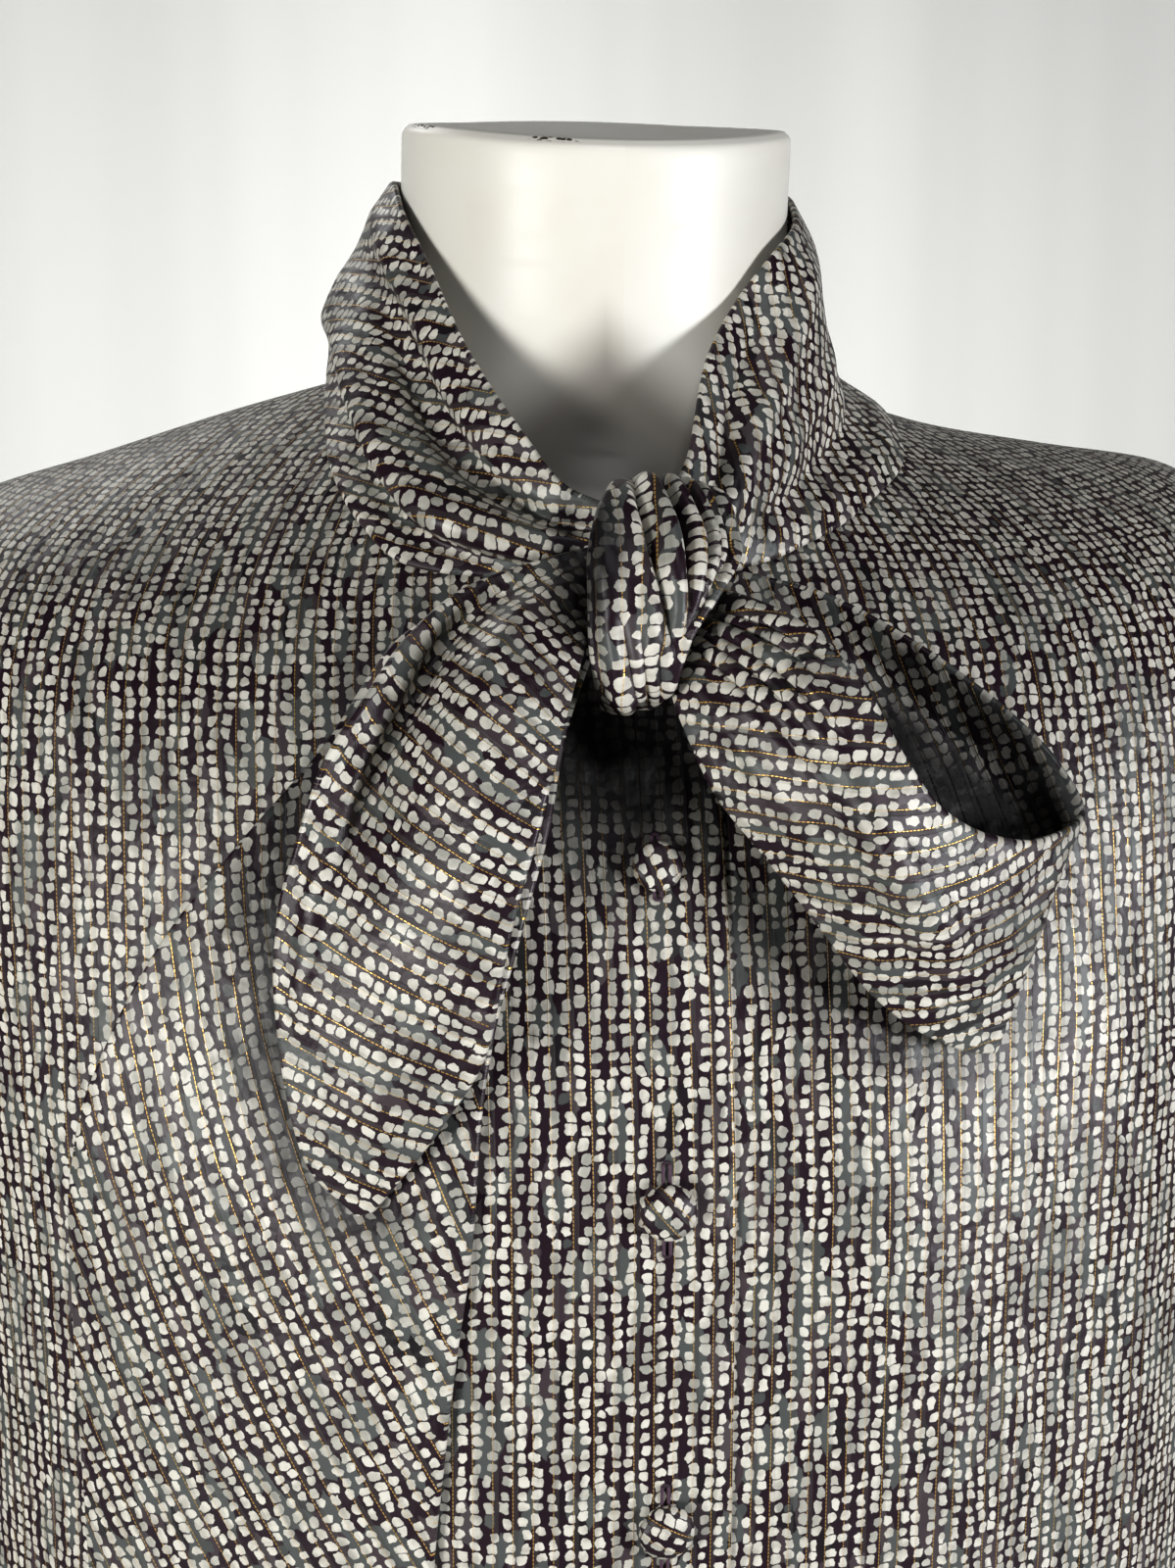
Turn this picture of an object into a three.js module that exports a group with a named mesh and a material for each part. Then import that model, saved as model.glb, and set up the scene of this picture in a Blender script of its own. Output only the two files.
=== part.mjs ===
import * as THREE from "three";

// A tie neck blouse on a limbless dress form, in mm. X is the viewer's right, the front faces -Y,
// +Z is up, and the origin is the middle of the form's flat base.

const WALL = 1.5; // blouse cloth
const DOUBLE = 2.8; // collar, tails and loop: two layers of cloth
const SEAM = 0.3; // clear distance between two pieces that are sewn together or lie on each other
const FORM_EASE = WALL + 0.7; // from the outside of the cloth to the form where it carries the cloth
const FRONT_EASE = FORM_EASE + WALL + 1; // the same where the two fronts lap
const LAP = 17; // how far each front reaches past the centre
const DEG = Math.PI / 180;
const QUARTER = 90 * DEG;

const CLOTH = new THREE.MeshStandardMaterial({ color: 0x6e6a6b, roughness: 0.5 });
const CLOTH_DARK = new THREE.MeshStandardMaterial({ color: 0x5c5558, roughness: 0.5 });
const GLOSS = new THREE.MeshStandardMaterial({ color: 0xe9e6df, roughness: 0.3 });

// One row per ring of the body, from the neckline down. Heights: left and right side, front, back.
const RINGS = {
  columns: ["width", "front", "back", "leftZ", "rightZ", "frontZ", "backZ", "fold"],
  rows: [
    [80, 93, 66, 770, 766, 722, 774, 0],
    [112, 101, 74, 761, 757, 711, 766, 0],
    [150, 110, 84, 749, 751, 699, 752, 0],
    [190, 119, 95, 736, 745, 684, 734, 0],
    [213, 128, 104, 717, 727, 663, 708, 0],
    [218, 139, 112, 670, 676, 632, 664, 0.2],
    [215, 148, 119, 612, 614, 592, 612, 0.6],
    [209, 154, 122, 550, 550, 545, 552, 1],
    [206, 154, 122, 490, 490, 490, 492, 1.4],
    [205, 152, 121, 425, 425, 425, 427, 2],
    [206, 147, 123, 350, 350, 350, 350, 2.8],
    [209, 144, 129, 265, 265, 265, 265, 3.8],
    [213, 140, 133, 180, 180, 180, 180, 5],
    [216, 139, 134, 110, 110, 110, 110, 6],
    [218, 139, 134, 50, 50, 50, 50, 6],
    [219, 139, 134, 0, 0, 0, 0, 6],
  ],
};
const SHOULDER = 4; // ring at the shoulder point
const UNDERARM = 7;
const HEM = 13;
const BASE = 15;
const ROUNDNESS = 2.3; // exponent of the ring's oval
const RING_DROP = 1.35; // how soon a ring leaves the height of its side for that of its front

// How far the form lies inside the cloth's outside, ring by ring.
const EASE = {
  columns: ["side", "front", "back"],
  rows: [
    [FORM_EASE, FRONT_EASE, FORM_EASE],
    [FORM_EASE, FRONT_EASE, FORM_EASE],
    [FORM_EASE, FRONT_EASE, FORM_EASE],
    [FORM_EASE, FRONT_EASE, FORM_EASE],
    [12, FRONT_EASE, 3],
    [30, 5, 5],
    [44, 6, 10],
    [50, 10, 20],
    [52, 20, 26],
    [58, 38, 36],
    [78, 56, 44],
    [62, 50, 34],
    [46, 42, 22],
    [46, 42, 24],
    [52, 44, 28],
    [58, 48, 32],
  ],
};

// The form's neck above the neckline, up to the rim of its sloping cap.
const NECK = {
  columns: ["width", "frontY", "backY", "sideZ", "frontZ", "backZ"],
  rows: [
    [70, -79, 57, 775, 736, 781],
    [63.5, -71, 52, 786, 760, 794],
    [60.3, -68, 48, 800, 784, 808],
    [58.8, -69, 42, 820, 809, 828],
    [58.5, -71, 34, 842, 832, 850],
    [56.5, -69, 32, 845, 835.5, 853],
  ],
};

// Sleeve from just outside the armhole to the cuff: outer and inner seam, middle and half depth.
const SLEEVE = {
  columns: ["outX", "outZ", "inX", "inZ", "midY", "depth"],
  rows: [
    [229, 719, 213.5, 541, -9, 46],
    [252, 703, 215, 520, -3, 56],
    [276, 674, 217, 494, 1, 61],
    [297, 630, 219, 462, 3, 62],
    [311, 570, 222, 424, 4, 60],
    [321, 500, 226, 382, 5, 58],
    [328, 425, 232, 338, 5, 56],
    [333, 350, 240, 292, 5, 54],
    [336, 280, 249, 246, 5, 51],
    [337, 222, 258, 206, 5, 46],
    [335, 184, 267, 178, 5, 38],
  ],
};
const CUFF = { columns: ["outX", "outZ", "inX", "inZ", "midY", "depth"],
  rows: [[338, 183.4, 264, 176.6, 5, 40.5], [340, 121, 267, 115, 5, 40]] };
const CUFF_WALL = 2.4;

// Collar halves from the nape to the knot. The lower edge lies on the blouse at an angle from the
// centre front and a ring; then the upper edge, and how far the cloth swells at each sixth.
const COLLAR_SWELLS = ["flare", "rise", "roll", "valley", "band"];
const COLLAR = ["angle", "ring", "topX", "topY", "topZ", ...COLLAR_SWELLS];
const COLLAR_RIGHT = {
  columns: COLLAR,
  rows: [
    [180, 0.2, 0, 60, 829, 2, 4, 4, 3, 1],
    [148, 0.2, 33, 50, 830, 2, 5, 6, 4, 2],
    [118, 0.1, 54, 24, 831, 2, 5, 7, 4, 3],
    [92, 0, 60.5, -3, 829, 2.5, 8, 7, 3.5, 3],
    [72, 0.15, 60, -28, 820, -2, 4, 2, -2.5, 1],
    [56, 0.45, 54, -48, 803, -3, 3, -1, -6, -1],
    [43, 0.75, 45.5, -70, 779, -3, 5, 1, -7.5, -1],
    [32, 1, 33, -92, 756, -2, 6, 4, -7, 0],
    [20, 0.8, 20.5, -102, 740, 0, 4, 3, -3, 0],
    [4, 0.55, 4.5, -106.5, 734, 1, 2, 1.5, 1, 0.5],
  ],
};
const COLLAR_LEFT = {
  columns: COLLAR,
  rows: [
    [180, 0.2, 0, 60, 829, 2, 4, 4, 3, 1],
    [148, 0.3, 33, 50, 830, 1, 4, 6, 4, 2],
    [118, 0.3, 54, 24, 831, -3, 1, 3, 2, 1],
    [95, 0.3, 62, -3, 827, -10, -8.5, -5.5, -2, 1.5],
    [77, 0.4, 58.5, -32, 817, -10, -9.5, -7, -3, 0.5],
    [62, 0.5, 47.5, -52, 806, -8, -7, -4, 0, 2],
    [46, 0.4, 34, -62, 791, -5, -4, 0, 3, 3],
    [32, 0.4, 22.5, -77, 774, -1, 2, 5, 5, 2],
    [20, 0.5, 13.5, -97, 748, 1, 3, 4, 3, 1],
    [4, 0.55, 4.5, -106.5, 734, 1, 2, 1.5, 1, 0.5],
  ],
};

// Strips that lie over the chest: both edges as x, z and height over the chest, from the knot
// outward, and how far the cloth swells at each quarter of the width.
const STRIP_SWELLS = ["low", "middle", "high"];
const STRIP = ["x0", "z0", "lift0", "x1", "z1", "lift1", ...STRIP_SWELLS];
const TAIL_SHORT = {
  columns: STRIP,
  rows: [
    [-9, 727, 30, -5, 714, 20, 0, 1, 0],
    [-26, 723, 27, -13, 710, 24, 1, 3, 1],
    [-48.5, 715.5, 25, -19, 707, 28, -2, 4, 2],
    [-66, 704, 29, -24, 698, 32, -8, 4, 4],
    [-78, 689, 30, -28.5, 687, 34, -11, 2, 5],
    [-88, 674, 27, -33, 673, 34, -10, 1, 5],
    [-95, 654, 20, -37.5, 658, 33, -5, 1, 4],
    [-100, 636, 15, -42, 644, 30, -1, 2, 3],
    [-101.5, 618, 12.5, -46, 628, 26, 1, 2, 2],
    [-100, 596, 10, -51, 603, 20, 1, 2, 1],
    [-94.5, 571, 7.4, -61.5, 583, 13, 0.5, 1, 0.5],
    [-82, 557.5, 6.2, -78.5, 559, 6.4, 0, 0, 0],
  ],
};
const TAIL_LONG = {
  columns: STRIP,
  rows: [
    [-9, 723, 20, -5, 711, 13, 0, 0, 0],
    [-36, 715, 14, -14, 704, 10, 0, 1, 0],
    [-64.5, 703, 7, -20, 692, 7, 0, 0, 0],
    [-88, 674, 4.6, -26, 676, 4.6, -1, 0, 1],
    [-110, 650, 3.6, -31, 655, 4, -1, 0, 1],
    [-130, 625, 3, -40, 627, 3.4, -0.4, 0, 0.4],
    [-145, 598, 2.8, -47.5, 602, 2.8, 0, 0, 0],
    [-154.5, 572, 2.8, -51.5, 579, 2.6, 0, 0, 0],
    [-158, 544, 2.8, -54.5, 546, 2.6, 0, 0, 0],
    [-158, 507, 2.8, -59, 514, 2.6, 0, 0, 0],
    [-157, 460, 2.8, -64, 470, 2.6, 0, 0, 0],
    [-156, 412, 2.8, -69, 420, 2.6, 0, 0, 0],
    [-149, 378, 2.8, -84, 398, 2.6, 0, 0, 0],
    [-140, 358, 2.8, -136, 359, 2.8, 0, 0, 0],
  ],
};
const LOOP = {
  columns: STRIP,
  rows: [
    [6, 716, 13, 2, 703, 13, 0, 1, 0],
    [18, 714, 30, 2.5, 690, 20, 2, 3, 2],
    [30, 709.5, 41, 6.5, 676.5, 21, 4, 5, 3],
    [39, 702, 46, 12, 664.5, 20, 5, 7, 4],
    [46.5, 691.5, 49, 24.5, 648.5, 18, 5, 8, 5],
    [54.5, 676, 47, 39, 629.5, 15, 5, 8, 5],
    [64.5, 662.5, 42, 53, 611.5, 12.5, 4, 7, 4],
    [80, 653.5, 34, 68.5, 599.5, 10, 3, 5, 3],
    [95.5, 650, 27, 82, 593.5, 8, 1, 3, 1],
    [108, 651.5, 21.5, 88.5, 592.5, 7.2, 0, 0.5, 0],
    [113.5, 656, 19.5, 88.5, 597, 5, -2, -1, 0],
    [106.5, 668.5, 19.5, 81, 611, 2.4, -7, -4, -1.5],
    [92, 683, 20, 68, 628, 2.4, -10.5, -6.5, -2.5],
    [78.5, 693.5, 20, 51, 645, 2.4, -10.5, -6.5, -2.5],
    [63, 704, 18, 36, 662, 2.4, -8.5, -5, -2],
    [46, 712.5, 15, 24, 680, 3, -5, -3, -1],
    [26, 717.5, 10, 13, 698, 6, -1, 0, 0],
  ],
};

// The knot: a band over the front of the tie, from behind its top round to beneath, edge to edge.
const KNOT = {
  columns: ["x0", "y0", "z0", "x1", "y1", "z1", ...STRIP_SWELLS],
  rows: [
    [-9, -107.3, 736.2, 12, -107.3, 736.2, 0, 0, 0],
    [-11, -121, 742.5, 17, -121, 740, 2, 2, 2],
    [-16, -132, 737, 20, -131, 727, 3, 3, 3],
    [-20, -140, 722, 13, -141, 716, 3, 4, 3],
    [-20, -141, 706, 4, -145, 703, 3, 4, 2],
    [-18, -139, 692, 0, -142, 690, 2, 3, 1],
    [-15, -130, 685, -3, -130, 685, 1, 1, 0],
  ],
};

// Covered buttons down the front, and one on each cuff.
const BUTTONS = { columns: ["z", "radius"],
  rows: [[643, 6.7], [555, 7.6], [465, 7.6], [375, 7.6], [285, 7.6], [195, 7.6]] };
const BUTTON_X = -2;
const CUFF_BUTTON_RADIUS = 6;

// Smooth curve through the rows of one column, straight on past either end.
function curve(values, at) {
  const last = values.length - 1;
  const step = (i) => values[i + 1] - values[i];
  const slope = (i) => {
    if (i === 0) return step(0);
    if (i === last) return step(last - 1);
    const before = step(i - 1);
    const after = step(i);
    return before * after <= 0 ? 0 : (2 * before * after) / (before + after);
  };
  if (at <= 0) return values[0] + slope(0) * at;
  if (at >= last) return values[last] + slope(last) * (at - last);
  const i = Math.min(Math.floor(at), last - 1);
  const s = at - i;
  const rise = s * s * (3 - 2 * s);
  const leave = s * (1 - s) * (1 - s);
  const arrive = s * s * (s - 1);
  return values[i] * (1 - rise) + values[i + 1] * rise + leave * slope(i) + arrive * slope(i + 1);
}

function read(table, name, at) {
  const column = table.columns.indexOf(name);
  return curve(table.rows.map((row) => row[column]), at);
}

// Soft vertical folds of the cloth round the body, as a share of their depth.
function hang(angle) {
  return 0.6 * Math.cos(7 * angle + 0.8) + 0.4 * Math.cos(11 * angle + 2.1);
}

// Point on the outside of the blouse: angle from the centre front toward +X, and ring.
function body(angle, ring) {
  const point = plain(angle, ring);
  const deep = read(RINGS, "fold", ring) * hang(angle);
  const away = Math.hypot(point.x, point.y);
  point.x *= 1 + deep / away;
  point.y *= 1 + deep / away;
  return point;
}

// The same without its folds.
function plain(angle, ring) {
  const s = Math.sin(angle);
  const c = Math.cos(angle);
  const reach = (Math.abs(s) ** ROUNDNESS + Math.abs(c) ** ROUNDNESS) ** (-1 / ROUNDNESS);
  const depth = read(RINGS, c > 0 ? "front" : "back", ring);
  const side = read(RINGS, s < 0 ? "leftZ" : "rightZ", ring);
  const end = read(RINGS, c > 0 ? "frontZ" : "backZ", ring);
  const height = side + (end - side) * (reach * Math.abs(c)) ** RING_DROP;
  return new THREE.Vector3(read(RINGS, "width", ring) * reach * s, -depth * reach * c, height);
}

// Normal of a surface given by a function of two numbers.
function normalOf(surface, p, q, step = 1e-3) {
  const alongP = surface(p + step, q).sub(surface(p - step, q));
  const alongQ = surface(p, q + step).sub(surface(p, q - step));
  return alongP.cross(alongQ).normalize();
}

// Point off the blouse along its outward normal.
function offBody(angle, ring, distance, surface = body) {
  const outward = normalOf(surface, angle, ring).negate();
  return surface(angle, ring).addScaledVector(outward, distance);
}

// Y of the blouse's front at a given x and z.
function chestY(x, z) {
  const step = 1e-3;
  let angle = Math.asin(Math.max(-0.9, Math.min(0.9, x / 200)));
  let ring = Math.max(-1, Math.min(12, 6 + (600 - z) / 30));
  for (let turn = 0; turn < 40; turn += 1) {
    const here = body(angle, ring);
    const dx = x - here.x;
    const dz = z - here.z;
    if (Math.abs(dx) + Math.abs(dz) < 1e-5) break;
    const byAngle = body(angle + step, ring).sub(here).divideScalar(step);
    const byRing = body(angle, ring + step).sub(here).divideScalar(step);
    const area = byAngle.x * byRing.z - byRing.x * byAngle.z;
    angle += Math.max(-0.3, Math.min(0.3, (dx * byRing.z - dz * byRing.x) / area));
    ring = Math.max(-1.6, ring + Math.max(-0.8, Math.min(0.8, (dz * byAngle.x - dx * byAngle.z) / area)));
  }
  return body(angle, ring).y;
}

// Closed wall between an outer and an inner grid of points. point(i, j, inside) gives a corner;
// a tube closes on itself along j.
function wall(rows, columns, point, tube = false) {
  const across = tube ? columns : columns + 1;
  const positions = [];
  for (const inside of [false, true]) {
    for (let i = 0; i <= rows; i += 1) {
      for (let j = 0; j < across; j += 1) positions.push(...point(i, j, inside).toArray());
    }
  }
  const layer = (rows + 1) * across;
  const at = (i, j, inside) => (inside ? layer : 0) + i * across + (j % across);
  const index = [];
  const quad = (a, b, c, d) => index.push(a, b, c, a, c, d);
  for (let i = 0; i < rows; i += 1) {
    for (let j = 0; j < columns; j += 1) {
      quad(at(i, j, false), at(i + 1, j, false), at(i + 1, j + 1, false), at(i, j + 1, false));
      quad(at(i, j, true), at(i, j + 1, true), at(i + 1, j + 1, true), at(i + 1, j, true));
    }
  }
  for (let j = 0; j < columns; j += 1) {
    quad(at(0, j, false), at(0, j + 1, false), at(0, j + 1, true), at(0, j, true));
    quad(at(rows, j, false), at(rows, j, true), at(rows, j + 1, true), at(rows, j + 1, false));
  }
  if (!tube) {
    for (let i = 0; i < rows; i += 1) {
      quad(at(i, 0, false), at(i, 0, true), at(i + 1, 0, true), at(i + 1, 0, false));
      quad(at(i, columns, false), at(i + 1, columns, false), at(i + 1, columns, true), at(i, columns, true));
    }
  }
  return solid(positions, index);
}

// Geometry with its faces turned outward.
function solid(positions, index) {
  const corner = (n) => new THREE.Vector3().fromArray(positions, 3 * n);
  let volume = 0;
  for (let n = 0; n < index.length; n += 3) {
    volume += corner(index[n]).dot(corner(index[n + 1]).cross(corner(index[n + 2])));
  }
  const faces = volume > 0 ? index : index.slice().reverse();
  const geometry = new THREE.BufferGeometry();
  geometry.setAttribute("position", new THREE.Float32BufferAttribute(positions, 3));
  geometry.setIndex(faces);
  geometry.computeVertexNormals();
  return geometry;
}

// Rings joined one to the next and closed at both ends by a fan to a middle point.
function stack(rings, firstMiddle, lastMiddle) {
  const across = rings[0].length;
  const positions = rings.flat().flatMap((p) => p.toArray());
  positions.push(...firstMiddle.toArray(), ...lastMiddle.toArray());
  const first = rings.length * across;
  const index = [];
  for (let j = 0; j < across; j += 1) {
    const next = (j + 1) % across;
    for (let i = 0; i < rings.length - 1; i += 1) {
      const a = i * across;
      const b = a + across;
      index.push(a + j, b + j, b + next, a + j, b + next, a + next);
    }
    const end = (rings.length - 1) * across;
    index.push(first, j, next, first + 1, end + next, end + j);
  }
  return solid(positions, index);
}

// Ring numbers of a panel's rows: closer together round the armhole.
const ARMHOLE_STEPS = 10;
function panelRows() {
  const rows = [];
  for (let ring = 0; ring < SHOULDER; ring += 0.5) rows.push(ring);
  for (let k = 0; k <= ARMHOLE_STEPS; k += 1) {
    rows.push(SHOULDER + ((UNDERARM - SHOULDER) * (1 - Math.cos((Math.PI * k) / ARMHOLE_STEPS))) / 2);
  }
  for (let ring = UNDERARM + 1; ring <= HEM; ring += 1) rows.push(ring);
  return rows;
}

const ARMHOLE_FRONT = 20 * DEG; // how far the armhole cuts into the front and the back
const ARMHOLE_BACK = 16 * DEG;

// Angle of a panel's outer edge, measured back from the side, with half a seam left open.
function cutBack(ring, depth, armhole) {
  const seam = SEAM / 2 / depth;
  if (ring <= SHOULDER || ring >= UNDERARM) return seam;
  const middle = (SHOULDER + UNDERARM) / 2;
  const off = (ring - middle) / (UNDERARM - middle);
  return seam + armhole * Math.sqrt(Math.max(0, 1 - off * off));
}

// A front: from its lapped edge past the centre out to the side. way is +1 for the viewer's right,
// and sink is how far its lapped part lies under the other front.
const FRONT_COLUMNS = 12;
const COLUMN_SPREAD = 1.2; // above 1, columns are closer together toward the lapped edge
const LAP_SHARE = 0.96; // the oval is flatter in front than the circle that the lap is measured on
const SINK_START = LAP + 5; // from this distance off the centre the sunk front rises again
const SINK_WIDTH = 30;
function frontPanel(way, sink) {
  const rows = panelRows();
  const columns = FRONT_COLUMNS;
  return wall(rows.length - 1, columns, (i, j, inside) => {
    const ring = rows[i];
    const inner = -Math.asin(LAP / read(RINGS, "width", ring)) * LAP_SHARE;
    const outer = QUARTER - cutBack(ring, read(RINGS, "front", ring), ARMHOLE_FRONT);
    const share = j / columns;
    const angle = inner + (outer - inner) * share ** COLUMN_SPREAD;
    const out = body(angle, ring).x;
    const blend = Math.min(1, Math.max(0, (out - SINK_START) / SINK_WIDTH));
    const under = sink * (1 - blend * blend * (3 - 2 * blend));
    return offBody(way * angle, ring, -under - (inside ? WALL : 0));
  });
}

const BACK_COLUMNS = 18;
function backPanel() {
  const rows = panelRows();
  const columns = BACK_COLUMNS;
  return wall(rows.length - 1, columns, (i, j, inside) => {
    const ring = rows[i];
    const start = QUARTER + cutBack(ring, read(RINGS, "back", ring), ARMHOLE_BACK);
    const angle = start + (2 * Math.PI - 2 * start) * (j / columns);
    return offBody(angle, ring, inside ? -WALL : 0);
  });
}

// Point of the armhole at a share of the way round from the shoulder over the front.
const SLEEVE_HEAD = 0.9985; // the sleeve's first ring as a share of the armhole, for the seam
const HEAD_TRIM = 0.004; // a little more off its height, where the panels' edges turn
function armhole(way, share, inside) {
  const turn = 2 * Math.PI * share;
  const middle = (SHOULDER + UNDERARM) / 2;
  const half = ((UNDERARM - SHOULDER) / 2) * (SLEEVE_HEAD - HEAD_TRIM);
  const ring = middle - half * Math.cos(turn);
  const cut = Math.sin(turn) > 0 ? ARMHOLE_FRONT : ARMHOLE_BACK;
  const angle = QUARTER - cut * SLEEVE_HEAD * Math.sin(turn);
  return offBody(way * angle, ring, inside ? -WALL : 0);
}

// Ring of a hanging tube from its outer seam forward round to its inner seam and back.
function tubePoint(table, way, row, share, inward, lift = 0) {
  const turn = 2 * Math.PI * share;
  const value = (name) => read(table, name, row);
  const halfX = (value("outX") - value("inX")) / 2;
  const halfZ = (value("outZ") - value("inZ")) / 2;
  const half = Math.hypot(halfX, halfZ);
  const reach = (half - inward) / half;
  return new THREE.Vector3(
    way * ((value("outX") + value("inX")) / 2 + halfX * reach * Math.cos(turn)),
    value("midY") - (value("depth") - inward) * Math.sin(turn),
    (value("outZ") + value("inZ")) / 2 + halfZ * reach * Math.cos(turn) + lift * (1 + Math.cos(turn)) / 2,
  );
}

// Just past the armhole seam the cloth turns over, most of all under the arm.
const TURN_SHARE = 0.4;
const TURN_RISE = 4.2;
function seamTurn(way, share, lift, inside) {
  const under = ((1 - Math.cos(2 * Math.PI * share)) / 2) ** 3;
  const start = armhole(way, share, false);
  const end = tubePoint(SLEEVE, way, 0, share, 0, lift);
  const startIn = armhole(way, share, true).sub(start);
  const endIn = tubePoint(SLEEVE, way, 0, share, WALL, lift).sub(end);
  const point = start.lerp(end, TURN_SHARE);
  point.z += TURN_RISE * under;
  if (!inside) return point;
  const inward = startIn.add(endIn).add(new THREE.Vector3(0, 0, WALL * under)).normalize();
  return point.addScaledVector(inward, WALL);
}

function sleeve(way) {
  const around = 2 * ARMHOLE_STEPS;
  const steps = SLEEVE.rows.length - 1;
  const lift = read(RINGS, way < 0 ? "leftZ" : "rightZ", SHOULDER) - read(RINGS, "rightZ", SHOULDER);
  return wall(steps + 2, around, (i, j, inside) => {
    if (i === 0) return armhole(way, j / around, inside);
    if (i === 1) return seamTurn(way, j / around, lift, inside);
    const row = i - 2;
    const fade = (1 - row / steps) ** 2;
    return tubePoint(SLEEVE, way, row, j / around, inside ? WALL : 0, lift * fade);
  }, true);
}

const CUFF_AROUND = 24;
function cuff(way) {
  const around = CUFF_AROUND;
  return wall(2, around, (i, j, inside) => tubePoint(CUFF, way, i / 2, j / around, inside ? CUFF_WALL : 0), true);
}

// A strip of double cloth given by its middle surface; start is the x of a straight first end.
function strip(steps, columns, surface, start = null) {
  return wall(steps, columns, (i, j, inside) => {
    const s = i / steps;
    const u = j / columns;
    const half = (inside ? -0.5 : 0.5) * DOUBLE;
    const point = surface(s, u).addScaledVector(normalOf(surface, s, u, 1e-4), half);
    if (i === 0 && start !== null) point.x = start;
    return point;
  });
}

// How far a strip swells from the plane between its edges, at a share of the way across.
function swell(table, names, row, u) {
  const swells = names.map((name) => read(table, name, row));
  return curve([0, ...swells, 0], (names.length + 1) * u);
}

// Middle surface of a strip that lies over the chest; s runs along it and u across it.
function lying(table) {
  const last = table.rows.length - 1;
  return (s, u) => {
    const value = (name) => read(table, name, s * last);
    const mix = (name) => value(`${name}0`) * (1 - u) + value(`${name}1`) * u;
    const x = mix("x");
    const z = mix("z");
    return new THREE.Vector3(x, chestY(x, z) - mix("lift") - swell(table, STRIP_SWELLS, s * last, u), z);
  };
}

// Middle surface of one collar half: up from the neckline, swelling away from the neck.
const COLLAR_OFF = SEAM + DOUBLE / 2 + 0.25; // from the blouse to the middle of the collar's cloth
const NECK_MIDDLE_Y = -10;
function collarSurface(table, way) {
  const last = table.rows.length - 1;
  return (s, u) => {
    const value = (name) => read(table, name, s * last);
    const low = offBody(way * value("angle") * DEG, value("ring"), COLLAR_OFF);
    const top = new THREE.Vector3(way * value("topX"), value("topY"), value("topZ"));
    const point = low.lerp(top, u);
    const middle = new THREE.Vector2(point.x, point.y - NECK_MIDDLE_Y).normalize();
    const out = swell(table, COLLAR_SWELLS, s * last, u);
    point.x += middle.x * out;
    point.y += middle.y * out;
    return point;
  };
}

const PLEATS = 5; // gathers across the knot
const PLEAT_DEPTH = 0.9;
const KNOT_MIDDLE_Y = -118;
const KNOT_MIDDLE_Z = 716;
function knotSurface(s, u) {
  const row = s * (KNOT.rows.length - 1);
  const value = (name) => read(KNOT, name, row);
  const mix = (name) => value(`${name}0`) * (1 - u) + value(`${name}1`) * u;
  const point = new THREE.Vector3(mix("x"), mix("y"), mix("z"));
  const middle = new THREE.Vector2(point.y - KNOT_MIDDLE_Y, point.z - KNOT_MIDDLE_Z).normalize();
  const pleat = PLEAT_DEPTH * Math.cos(2 * Math.PI * PLEATS * u) * Math.sin(Math.PI * u);
  const out = swell(KNOT, STRIP_SWELLS, row, u) + pleat;
  point.y += middle.x * out;
  point.z += middle.y * out;
  return point;
}

// Domed disc, lying with its flat back on a place and facing a direction.
function button(radius, place, facing) {
  const profile = [[0, 0], [0.85, 0], [1, 0.25], [0.93, 0.5], [0.66, 0.66], [0, 0.74]];
  const outline = profile.map(([r, h]) => new THREE.Vector2(r * radius, h * radius));
  const lathe = new THREE.LatheGeometry(outline, 16);
  const turn = new THREE.Quaternion().setFromUnitVectors(new THREE.Vector3(0, 1, 0), facing);
  lathe.applyQuaternion(turn);
  lathe.translate(place.x, place.y, place.z);
  return lathe;
}

// Ring of the front whose centre is at a height.
function ringAt(z) {
  let low = 0;
  let high = HEM;
  for (let turn = 0; turn < 40; turn += 1) {
    const middle = (low + high) / 2;
    if (read(RINGS, "frontZ", middle) > z) low = middle;
    else high = middle;
  }
  return low;
}

// The form: its neck above the neckline, then its torso inside the cloth down to the base.
const FORM_AROUND = 36;
const FORM_ROWS = [0, 0.5, 1, 1.5, 2, 2.5, 3, 3.5, 4, 4.5, 5, 6, 7, 8, 9, 10, 11, 12, 13, 14, BASE];
const CAP_MIDDLE_Y = -18.5;
const CAP_MIDDLE_Z = 845.5;
function dressForm() {
  const around = FORM_AROUND;
  const rings = [];
  const turnOf = (j) => (2 * Math.PI * j) / around;
  for (const row of NECK.rows.slice().reverse()) {
    const [width, frontY, backY, sideZ, frontZ, backZ] = row;
    const middle = (frontY + backY) / 2;
    const half = (backY - frontY) / 2;
    rings.push(Array.from({ length: around }, (_, j) => {
      const c = Math.cos(turnOf(j));
      const end = c > 0 ? frontZ : backZ;
      return new THREE.Vector3(width * Math.sin(turnOf(j)), middle - half * c, sideZ + (end - sideZ) * Math.abs(c));
    }));
  }
  for (const row of FORM_ROWS) {
    rings.push(Array.from({ length: around }, (_, j) => {
      const angle = turnOf(j);
      const c = Math.cos(angle);
      const end = read(EASE, c > 0 ? "front" : "back", row);
      const side = read(EASE, "side", row);
      const point = offBody(angle, row, -(side + (end - side) * c * c), plain);
      if (row === BASE) point.z = 0;
      return point;
    }));
  }
  const cap = new THREE.Vector3(0, CAP_MIDDLE_Y, CAP_MIDDLE_Z);
  return stack(rings, cap, new THREE.Vector3(0, 0, 0));
}

const group = new THREE.Group();
function add(name, geometry, material) {
  const mesh = new THREE.Mesh(geometry, material);
  mesh.name = name;
  group.add(mesh);
}

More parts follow.
